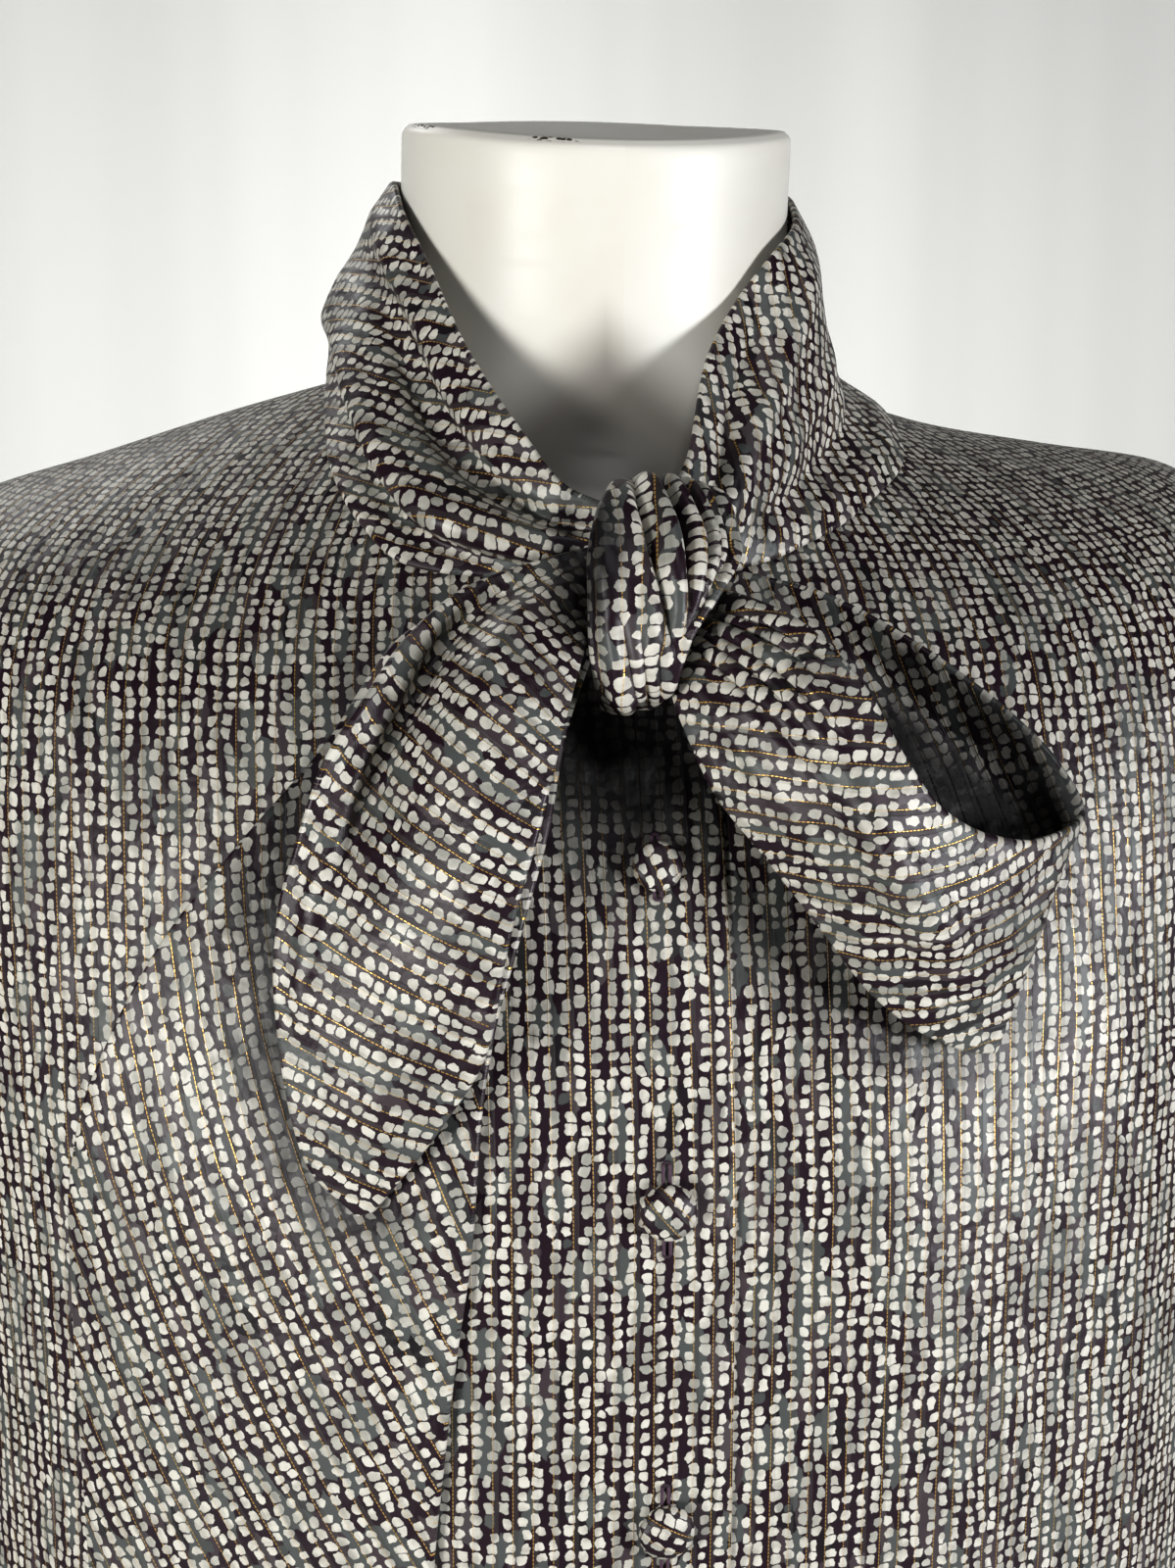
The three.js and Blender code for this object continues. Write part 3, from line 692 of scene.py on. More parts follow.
@dataclass
class Skin:
    """Skin of a piece: rows of sections with cloth coordinates.

    The rows join on to each other, and close in a ring where wraps is set, so that cut has one row
    more than points. A section closes on itself unless poles is set: then it runs from one middle
    point of the ring of rows to the other.
    """

    name: str
    points: Array
    cut: Array
    wraps: bool = False
    poles: bool = False

    def faces(self) -> tuple[list, list]:
        """Corner numbers of the faces and of the cloth coordinates that go with them.

        Returns:
            tuple[list, list]: Faces, and the numbers in cut of their corners.
        """
        rows, size = self.points.shape[:2]
        down = np.arange(rows if self.wraps else rows - 1)
        across = np.arange(size - 1 if self.poles else size)
        i, j = (n.ravel() for n in np.meshgrid(down, across, indexing="ij"))
        right = (j + 1) % size
        corners = np.stack([i * size + j, (i + 1) * size + j, (i + 1) * size + right, i * size + right], -1)
        points = np.where(corners >= rows * size, corners - rows * size, corners)
        faces, cuts = points.tolist(), corners.tolist()
        if not self.wraps:
            ends = self.end(size) + [[n + (rows - 1) * size for n in f[::-1]] for f in self.end(size)]
            faces, cuts = faces + ends, cuts + ends
        return faces, cuts

    @staticmethod
    def end(size: int) -> list[list[int]]:
        """Faces that close the first row of rounded sections of a size."""
        last = size // 2 - 4
        inner = 2 * last + 4
        strip = [[j, j + 1, inner - j - 1, inner - j] for j in range(last)]
        rims = [list(range(last, last + 5)), [*range(inner, size), 0]]
        return strip + rims

    def build(self) -> bpy.types.Object:
        """Makes the Blender object of the skin.

        Returns:
            bpy.types.Object: The object, linked to the scene.
        """
        points = self.points.reshape(-1, 3) * MM
        faces, cuts = self.faces()
        corners = points[np.array([f[:3] for f in faces])]
        fourth = points[np.array([f[3] for f in faces])]
        volume = (corners[:, 0] * np.cross(corners[:, 1], corners[:, 2])).sum()
        volume += (corners[:, 0] * np.cross(corners[:, 2], fourth)).sum()
        if volume < 0:
            faces, cuts = [f[::-1] for f in faces], [c[::-1] for c in cuts]
        mesh = bpy.data.meshes.new(self.name)
        mesh.from_pydata(points.tolist(), [], faces)
        layer = mesh.uv_layers.new(name=CUT_LAYER)
        order = np.array([n for c in cuts for n in c])
        layer.data.foreach_set("uv", self.cut.reshape(-1, 2)[order].ravel())
        mesh.polygons.foreach_set("use_smooth", np.ones(len(faces), bool))
        if self.poles:
            work = bmesh.new()
            work.from_mesh(mesh)
            bmesh.ops.remove_doubles(work, verts=work.verts, dist=WELD)
            work.to_mesh(mesh)
            work.free()
        mesh.set_sharp_from_angle(angle=SHARP)
        mesh.update()
        piece = bpy.data.objects.new(self.name, mesh)
        bpy.context.scene.collection.objects.link(piece)
        return piece


def colour(code: str) -> tuple[float, float, float, float]:
    """Scene-linear colour of a web colour.

    Args:
        code: Six hexadecimal digits after a hash sign.

    Returns:
        tuple[float, float, float, float]: Red, green, blue and alpha.
    """
    parts = [int(code[n : n + 2], 16) / 255 for n in (1, 3, 5)]
    linear = [p / 12.92 if p <= 0.04045 else ((p + 0.055) / 1.055) ** 2.4 for p in parts]
    return (*linear, 1.0)


class Wire:
    """A node's output socket, with Python's operators for numbers and vectors."""

    def __init__(self, recipe: "Recipe", socket: bpy.types.NodeSocket) -> None:
        """Keeps the socket and the recipe it belongs to."""
        self.recipe = recipe
        self.socket = socket

    @property
    def wide(self) -> bool:
        """Whether the socket carries a vector or a colour."""
        return self.socket.type in {"VECTOR", "RGBA"}

    def combine(self, operation: str, *others: "Wire | float | tuple") -> "Wire":
        """Adds a Math or Vector Math node.

        Args:
            operation: The node's operation.
            *others: The further values of the node.

        Returns:
            Wire: The node's result.
        """
        values = (self, *others)
        if any(isinstance(v, Wire) and v.wide for v in values):
            wide = [v if isinstance(v, (Wire, tuple)) else (v, v, v) for v in values]
            return self.recipe.node("ShaderNodeVectorMath", {"operation": operation}, dict(enumerate(wide)))
        return self.recipe.node("ShaderNodeMath", {"operation": operation}, dict(enumerate(values)))

    def other(self, name: str) -> "Wire":
        """Another output of the same node."""
        return Wire(self.recipe, self.socket.node.outputs[name])

    def part(self, axis: str) -> "Wire":
        """One part of a vector: X, Y or Z."""
        return self.recipe.node("ShaderNodeSeparateXYZ", {}, {0: self}, axis)

    def __add__(self, other: "Wire | float") -> "Wire":
        """Sum."""
        return self.combine("ADD", other)

    __radd__ = __add__

    def __sub__(self, other: "Wire | float") -> "Wire":
        """Difference."""
        return self.combine("SUBTRACT", other)

    def __rsub__(self, other: float) -> "Wire":
        """Difference from a number."""
        return (self * -1.0) + other

    def __mul__(self, other: "Wire | float") -> "Wire":
        """Product."""
        return self.combine("MULTIPLY", other)

    __rmul__ = __mul__

    def __truediv__(self, other: "Wire | float") -> "Wire":
        """Quotient."""
        return self.combine("DIVIDE", other)

    def least(self, other: "Wire | float") -> "Wire":
        """Lower of two values."""
        return self.combine("MINIMUM", other)

    def power(self, exponent: float) -> "Wire":
        """Value raised to a power."""
        return self.combine("POWER", exponent)

    def size(self) -> "Wire":
        """Value without its sign."""
        return self.combine("ABSOLUTE")

    def loop(self) -> "Wire":
        """Part of the value after its whole number."""
        return self.combine("FRACT")

    def sine(self) -> "Wire":
        """Sine of the value."""
        return self.combine("SINE")

    def step(self, low: "Wire | float", high: "Wire | float") -> "Wire":
        """Smooth step from 0 at low to 1 at high."""
        settings = {"interpolation_type": "SMOOTHSTEP"}
        return self.recipe.node("ShaderNodeMapRange", settings, {0: self, 1: low, 2: high, 3: 0.0, 4: 1.0})


class Recipe:
    """Node tree of one material."""

    def __init__(self, name: str) -> None:
        """Starts an empty material.

        Args:
            name: The material's name.
        """
        self.material = bpy.data.materials.new(name)
        self.material.use_nodes = True
        self.tree = self.material.node_tree
        self.tree.nodes.clear()

    def node(self, kind: str, settings: dict, inputs: dict, output: int | str = 0) -> Wire:
        """Adds a node.

        Args:
            kind: The node's type.
            settings: Attributes that are set first.
            inputs: Values or links of its sockets, by name or number.
            output: Name or number of the output to return.

        Returns:
            Wire: That output.
        """
        made = self.tree.nodes.new(kind)
        for key, value in settings.items():
            setattr(made, key, value)
        for key, value in inputs.items():
            if isinstance(value, Wire):
                self.tree.links.new(value.socket, made.inputs[key])
            else:
                made.inputs[key].default_value = value
        return Wire(self, made.outputs[output])

    def mix(self, share: Wire | float, low: Wire | tuple, high: Wire | tuple) -> Wire:
        """Mixes two colours.

        Args:
            share: How much of the second colour.
            low: The first colour.
            high: The second colour.

        Returns:
            Wire: The mixed colour.
        """
        settings = {"data_type": "RGBA", "blend_type": "MIX"}
        return self.node("ShaderNodeMix", settings, {0: share, 6: low, 7: high}, 2)

    def vector(self, x: Wire | float, y: Wire | float, z: Wire | float = 0.0) -> Wire:
        """A vector from its three parts."""
        return self.node("ShaderNodeCombineXYZ", {}, {0: x, 1: y, 2: z})

    def cut(self) -> Wire:
        """The cloth coordinates in mm."""
        return self.node("ShaderNodeUVMap", {"uv_map": CUT_LAYER}, {})

    def noise(self, place: Wire, scale: float, detail: float = 2.0) -> Wire:
        """Smooth noise from 0 to 1 in the plane of the cloth; its colour is its other output."""
        inputs = {"Vector": place, "Scale": scale, "Detail": detail}
        return self.node("ShaderNodeTexNoise", {"noise_dimensions": "2D"}, inputs)

    def cells(self, place: Wire, feature: str, randomness: float) -> Wire:
        """Distance in a pattern of cells of size 1; the cell's random colour is another output."""
        settings = {"voronoi_dimensions": "2D", "feature": feature}
        inputs = {"Vector": place, "Scale": 1.0, "Randomness": randomness}
        return self.node("ShaderNodeTexVoronoi", settings, inputs)

    def bump(self, height: Wire, depth: float, normal: Wire | None = None) -> Wire:
        """Normal of a surface with a height over it.

        Args:
            height: The height, in units of depth.
            depth: What a height of 1 is, in mm.
            normal: An earlier bump to build on.

        Returns:
            Wire: The normal.
        """
        inputs = {"Strength": 1.0, "Distance": depth * MM, "Height": height}
        if normal is not None:
            inputs["Normal"] = normal
        return self.node("ShaderNodeBump", {}, inputs)

    def finish(self, sockets: dict) -> bpy.types.Material:
        """Ends the tree in a Principled shader.

        Args:
            sockets: Values or links of the shader's sockets.

        Returns:
            bpy.types.Material: The material.
        """
        shader = self.node("ShaderNodeBsdfPrincipled", {}, sockets)
        output = self.tree.nodes.new("ShaderNodeOutputMaterial")
        self.tree.links.new(shader.socket, output.inputs["Surface"])
        return self.material


@dataclass(frozen=True)
class PaintedShadow:
    """Painted shadow: a patch where the colour is darkened to stand for the shade in a recess between folds.

    It is a diamond round its middle, in mm, with its corners as far away as its reach.
    """

    middle: tuple[float, float, float]
    reach: tuple[float, float, float]
    depth: float

    def share(self, make: Recipe) -> Wire:
        """How strongly the painted shadow darkens each place.

        Args:
            make: The material's recipe.

        Returns:
            Wire: From 0 outside the painted shadow to its depth in the middle.
        """
        place = make.node("ShaderNodeTexCoord", {}, {}, "Object") / MM
        away = ((place - self.middle) / self.reach).size()
        return (away.part("X") + away.part("Y") + away.part("Z")).step(1.0, 0.4) * self.depth


@dataclass(frozen=True)
class PebbleSatin:
    """Satin with printed pebbles, plain semi-sheer stripes, a dashed metal thread and painted shadows in
    given places.
    """

    name: str
    painted_shadows: tuple[PaintedShadow, ...] = ()
    pebble: str = "#d3d0c6"
    pebble_shade: str = "#a09c92"
    grey: str = "#878780"
    slate: str = "#464948"
    aubergine: str = "#1e0717"
    taupe: str = "#40353a"
    ink: str = "#140a12"
    # Colour of the painted shadows.
    deep: str = "#060407"
    sheer: str = "#4b4846"
    gold: str = "#cba55c"
    float_light: str = "#7e8280"
    column_pitch: float = 4.1
    row_pitch: float = 3.7
    jitter: float = 0.34
    half_width: float = 1.27
    half_height: float = 1.43
    stripe_pitch: float = 5.35
    stripe_width: float = 1.25
    gold_width: float = 0.26
    dash: float = 1.15
    twill: float = 0.55
    roughness: float = 0.36

    def pebbles(self, make: Recipe, cut: Wire) -> tuple[Wire, Wire, Wire]:
        """Where the printed pebbles are.

        Args:
            make: The material's recipe.
            cut: The cloth coordinates.

        Returns:
            tuple[Wire, Wire, Wire]: Mask of the pebbles, a random colour for each of them, and the
            place in the print.
        """
        wander = (make.noise(cut, 0.06).other("Color") - 0.5) * (3.0, 3.8, 0.0)
        wobble = (make.noise(cut, 0.52).other("Color") - 0.5) * (1.3, 1.3, 0.0)
        printed = cut + wander + wobble
        lattice = printed / (self.column_pitch, self.row_pitch, 1.0)
        centre = make.cells(lattice, "F1", self.jitter)
        edge = make.cells(lattice, "DISTANCE_TO_EDGE", self.jitter)
        chance = centre.other("Color")
        away = (lattice - centre.other("Position")) * (self.column_pitch, self.row_pitch, 0.0)
        half_width = self.half_width * (0.84 + chance.part("Y") * 0.34)
        half_height = self.half_height * (0.82 + chance.part("Z") * 0.42)
        across = (away.part("X").size() / half_width).power(2.7)
        up = (away.part("Y").size() / half_height).power(2.7)
        inside = ((1 - (across + up)) * 0.22).least(edge - 0.05)
        return inside.step(-0.014, 0.016), chance, printed

    def build(self) -> bpy.types.Material:
        """Makes the material.

        Returns:
            bpy.types.Material: The finished cloth.
        """
        make = Recipe(self.name)
        cut = make.cut()
        pebble, chance, printed = self.pebbles(make, cut)
        odd = chance.part("X")
        streak = make.vector(printed.part("X") / 4.1 + 3.7, printed.part("Y") / 11.0)
        zone = make.cells(streak, "F1", 1.0).other("Color")
        dark = zone.part("X").step(0.27, 0.28)
        ground = make.mix(dark, colour(self.slate), colour(self.aubergine))
        ground = make.mix(zone.part("Y").step(0.84, 0.85), ground, colour(self.taupe))
        ground = make.mix(zone.part("Z").step(0.93, 0.94), ground, colour(self.ink))
        shade = make.noise(cut, 0.21).step(0.35, 0.75)
        pale = make.mix(shade * 0.7, colour(self.pebble), colour(self.pebble_shade))
        worn = make.noise(printed * (0.11, 0.032, 0.0), 1.0, 1.0).step(0.5, 0.64)
        pale = make.mix(worn * (0.35 + odd * 0.5), pale, colour(self.grey))
        pale = make.mix(odd.step(0.008, 0.006), pale, colour(self.slate))
        printed_colour = make.mix(pebble, ground, pale)
        weave_u, weave_v = cut.part("X"), cut.part("Y")
        across = (weave_u / self.stripe_pitch).loop() * self.stripe_pitch
        half = self.stripe_width / 2
        stripe = (across - (0.75 + half)).size().step(half + 0.12, half - 0.12)
        washed = make.mix(0.34 - pebble * 0.16, printed_colour, colour(self.sheer))
        body_colour = make.mix(stripe, printed_colour, washed)
        thread = ((weave_u + weave_v) * (2 * math.pi / self.twill)).sine() * 0.5 + 0.5
        floats = thread * (1 - stripe) * (1 - pebble * 0.75) * (1 - dark * (1 - pebble) * 0.8) * 0.24
        twilled = make.mix(floats, body_colour, colour(self.float_light))
        gold_line = (across - 0.55).size().step(self.gold_width / 2 + 0.05, self.gold_width / 2 - 0.05)
        beat = (weave_v / self.dash + make.noise(cut, 0.05)).loop()
        gold_dash = gold_line * (beat - 0.5).size().step(0.4, 0.28)
        gold_shown = gold_dash * (1 - pebble * 0.5)
        base = make.mix(gold_shown, twilled, colour(self.gold))
        # Painted shadows: the base colour darkens toward the shadow colour in each given place.
        for painted_shadow in self.painted_shadows:
            base = make.mix(painted_shadow.share(make), base, colour(self.deep))
        slub = make.noise(cut * (0.9, 0.12, 0.0), 1.0)
        crumple = make.noise(cut, 0.09, 3.0)
        normal = make.bump(crumple, 0.9)
        normal = make.bump(thread * 0.25 + slub * 0.4 - stripe * 0.6 + gold_line * 0.5, 0.09, normal)
        return make.finish(
            {
                "Base Color": base,
                "Roughness": self.roughness + stripe * 0.1 + slub * 0.08 - gold_shown * 0.12,
                "Metallic": gold_shown * 0.6,
                "Normal": normal,
                "Specular IOR Level": 0.34,
                "Sheen Weight": 0.02,
                "Sheen Roughness": 0.4,
            }
        )


# Painted shadows on the chest cloth: black under the knot between the tails and the loop, softer along the
# loop's lower edge.
PAINTED_SHADOWS_UNDER_BOW = (
    PaintedShadow((-6.0, -120.0, 690.0), (126.0, 72.0, 111.0), 0.95),
    PaintedShadow((34.0, -110.0, 630.0), (45.0, 210.0, 57.0), 0.5),
    PaintedShadow((58.0, -110.0, 606.0), (51.0, 210.0, 39.0), 0.5),
    PaintedShadow((80.0, -110.0, 593.0), (48.0, 210.0, 30.0), 0.45),
)
# Painted shadow on the long tail, along the left edge of the short tail that lies over it.
PAINTED_SHADOWS_BESIDE_SHORT_TAIL = (
    PaintedShadow((-90.0, -90.0, 664.0), (30.0, 240.0, 66.0), 0.6),
    PaintedShadow((-99.0, -90.0, 630.0), (30.0, 240.0, 72.0), 0.7),
    PaintedShadow((-100.0, -90.0, 597.0), (27.0, 240.0, 66.0), 0.75),
    PaintedShadow((-92.0, -90.0, 569.0), (27.0, 240.0, 42.0), 0.7),
    PaintedShadow((-80.0, -90.0, 556.0), (36.0, 240.0, 21.0), 0.6),
)
# Painted shadows on the tie: black inside the mouth of the loop, and along the left edge of the knot.
PAINTED_SHADOWS_ON_TIE = (
    PaintedShadow((82.0, -137.0, 657.0), (51.0, 33.0, 51.0), 0.97),
    PaintedShadow((66.0, -137.0, 676.0), (48.0, 33.0, 51.0), 0.97),
    PaintedShadow((66.0, -137.0, 646.0), (84.0, 30.0, 84.0), 0.85),
    PaintedShadow((-21.0, -134.0, 727.0), (18.0, 66.0, 45.0), 0.9),
)


@dataclass(frozen=True)
class GlossForm:
    """Glossy off-white moulded plastic of the form, with a few chips at the rim of its cap and a painted
    brown shade on the neck low in the collar's opening.
    """

    name: str
    shade: str = "#e6e4dc"
    chip: str = "#4a443c"
    # Colour, place and strength of the painted shade on the neck, low in the collar's opening.
    deep: str = "#3b3029"
    painted_shadow: PaintedShadow = PaintedShadow((-5.0, -80.0, 752.0), (56.0, 900.0, 46.0), 0.75)
    roughness: float = 0.42

    def build(self) -> bpy.types.Material:
        """Makes the material.

        Returns:
            bpy.types.Material: The finished plastic.
        """
        make = Recipe(self.name)
        cut = make.cut()
        chips = make.cells(cut * (0.45, 0.9, 0.0), "F1", 1.0)
        near_rim = cut.part("Y").size().step(1.6, 0.4)
        clustered = make.noise(cut, 0.035).step(0.57, 0.63)
        chipped = chips.step(0.42, 0.32) * near_rim * clustered
        mottled = make.noise(cut, 0.02, 4.0)
        tint = make.mix(mottled.step(0.3, 0.8) * 0.5, colour(self.shade), colour("#dcd6c8"))
        # Painted shade: the neck's colour darkens toward brown low in the collar's opening.
        tint = make.mix(self.painted_shadow.share(make), tint, colour(self.deep))
        base = make.mix(chipped, tint, colour(self.chip))
        ripple = make.bump(make.noise(cut, 0.015, 1.0), 0.8)
        normal = make.bump(chipped * -1.0, 0.4, ripple)
        scuffs = make.noise(cut * (0.3, 2.0, 0.0), 0.12, 4.0).step(0.5, 0.8)
        return make.finish(
            {
                "Base Color": base,
                "Roughness": self.roughness + scuffs * 0.14 + chipped * 0.3,
                "Normal": normal,
                "Coat Weight": 0.2,
                "Coat Roughness": 0.3,
            }
        )


@dataclass(frozen=True)
class SpunThread:
    """Twisted sewing thread of one colour."""

    name: str
    shade: str

    def build(self) -> bpy.types.Material:
        """Makes the material.

        Returns:
            bpy.types.Material: The finished thread.
        """
        make = Recipe(self.name)
        cut = make.cut()
        twist = ((cut.part("X") * 1.4 + cut.part("Y")) * (2 * math.pi / 0.6)).sine() * 0.5 + 0.5
        base = make.mix(twist * 0.5, colour(self.shade), colour("#7a6a74"))
        bump = make.bump(twist, 0.12)
        return make.finish({"Base Color": base, "Roughness": 0.55 + twist * 0.1, "Normal": bump})


@dataclass(frozen=True)
class PlainWall:
    """Matt paint of the floor and the backdrop."""

    name: str
    shade: str

    def build(self) -> bpy.types.Material:
        """Makes the material.

        Returns:
            bpy.types.Material: The finished paint.
        """
        make = Recipe(self.name)
        place = make.node("ShaderNodeTexCoord", {}, {}, "Object")
        grain = make.noise(place, 3.0, 3.0)
        base = make.mix(grain * 0.25, colour(self.shade), colour("#e2e2e0"))
        return make.finish({"Base Color": base, "Roughness": 0.85, "Normal": make.bump(grain, 0.5)})


@dataclass
class Piece:
    """What every piece of the object is given once its mesh is built."""

    finish: bpy.types.Material
    slot: str

    def dress(self, piece: bpy.types.Object, *nodes: str) -> bpy.types.Object:
        """Gives a piece its finish and its place in the frame.

        Args:
            piece: The object.
            *nodes: The solids that it stands for.

        Returns:
            bpy.types.Object: The same object.
        """
        piece.data.materials.append(self.finish)
        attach(piece, "root")
        if nodes:
            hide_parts(*nodes)
        LOG.info("%s: %d faces", piece.name, len(piece.data.polygons))
        return piece


@dataclass
class DressForm(Piece):
    """The limbless form under the blouse, from the rim of its neck down to its flat base."""

    around: int = 144
    rows_per_ring: int = 5

    def neck(self, turn: Array) -> Array:
        """Rings of the neck from the rim down.

        Args:
            turn: Angles round the neck from the front.

        Returns:
            Array: Points of shape (rings, angles, 3).
        """
        rows = np.linspace(NECK.last, 0, 6 * NECK.last + 1)[:, None]
        c = np.cos(turn)[None]
        front, back = NECK.read("frontY", rows), NECK.read("backY", rows)
        side = NECK.read("sideZ", rows)
        end = np.where(c > 0, NECK.read("frontZ", rows), NECK.read("backZ", rows))
        x = NECK.read("width", rows) * np.sin(turn)[None]
        y = (front + back) / 2 - (back - front) / 2 * c
        return np.stack([x, y + 0 * x, side + (end - side) * np.abs(c) ** 1.3], -1)

    def torso(self, turn: Array) -> Array:
        """Rings of the torso inside the blouse, down to the base.

        Args:
            turn: Angles round the body from the front.

        Returns:
            Array: Points of shape (rings, angles, 3).
        """
        rows = np.linspace(0, BASE, self.rows_per_ring * BASE + 1)
        angle, ring = np.meshgrid(turn, rows)
        c = np.cos(angle)
        end = np.where(c > 0, EASE.read("front", ring), EASE.read("back", ring))
        side = EASE.read("side", ring)
        points = BODY.off(angle, ring, -(side + (end - side) * c * c), BODY.plain)
        points[-1, :, 2] = 0.0
        return points

    def build(self) -> bpy.types.Object:
        """Makes the form.

        Returns:
            bpy.types.Object: The form, in place of its solid.
        """
        turn = np.linspace(0, 2 * math.pi, self.around, endpoint=False)
        neck = self.neck(turn)
        rim = neck[0]
        middle = np.array([0.0, -18.5, 845.5])
        shares = np.array([0.0, 0.3, 0.6, 0.85, 0.955])[:, None, None]
        cap = middle + (rim - middle)[None] * shares
        cap[..., 2] += 0.9 * np.sqrt(np.clip(1 - shares[..., 0] ** 2, 0, 1))
        torso = self.torso(turn)
        foot = torso[-1]
        floor = np.stack([foot * [share, share, 1] for share in (0.985, 0.6, 0.0)])
        floor[0, :, 2] = 0.0
        points = np.concatenate([cap, neck, torso, floor])
        down = np.linalg.norm(np.diff(points, axis=0), axis=-1).mean(1)
        length = np.concatenate([[0], np.cumsum(down)])
        length -= length[len(cap)]
        across = np.linspace(0, 2 * math.pi * 60, self.around + 1)
        cut = np.stack(np.broadcast_arrays(across[:, None], length[None]), -1)
        skin = Skin("form", points.transpose(1, 0, 2), cut, wraps=True, poles=True)
        return self.dress(skin.build(), "dress_form")


def panel_rows(per_ring: int = 12, armhole: int = 56) -> Array:
    """Ring numbers of a body panel's rows, closer together round the armhole.

    Args:
        per_ring: Rows from one ring to the next.
        armhole: Rows from the shoulder to the underarm.

    Returns:
        Array: Ring numbers from the neckline to the hem.
    """
    above = np.linspace(0, SHOULDER, 8 * SHOULDER, endpoint=False)
    turn = np.linspace(0, math.pi, armhole + 1)
    beside = SHOULDER + (UNDERARM - SHOULDER) * (1 - np.cos(turn)) / 2
    below = np.linspace(UNDERARM, HEM, per_ring * (HEM - UNDERARM) + 1)[1:]
    return np.concatenate([above, beside, below])


ARMHOLE_FRONT = math.radians(20)
ARMHOLE_BACK = math.radians(16)
SLEEVE_HEAD = 0.9985


def cut_back(ring: Array, depth: Array, armhole: float) -> Array:
    """How far a panel's outer edge lies back from the side, as an angle.

    Args:
        ring: Ring numbers.
        depth: Depth of the body there, in mm.
        armhole: How far the armhole cuts in, as an angle.

    Returns:
        Array: Angles.
    """
    middle = (SHOULDER + UNDERARM) / 2
    off = np.clip((ring - middle) / (UNDERARM - middle), -1, 1)
    return SEAM / 2 / depth + armhole * np.sqrt(1 - off * off)


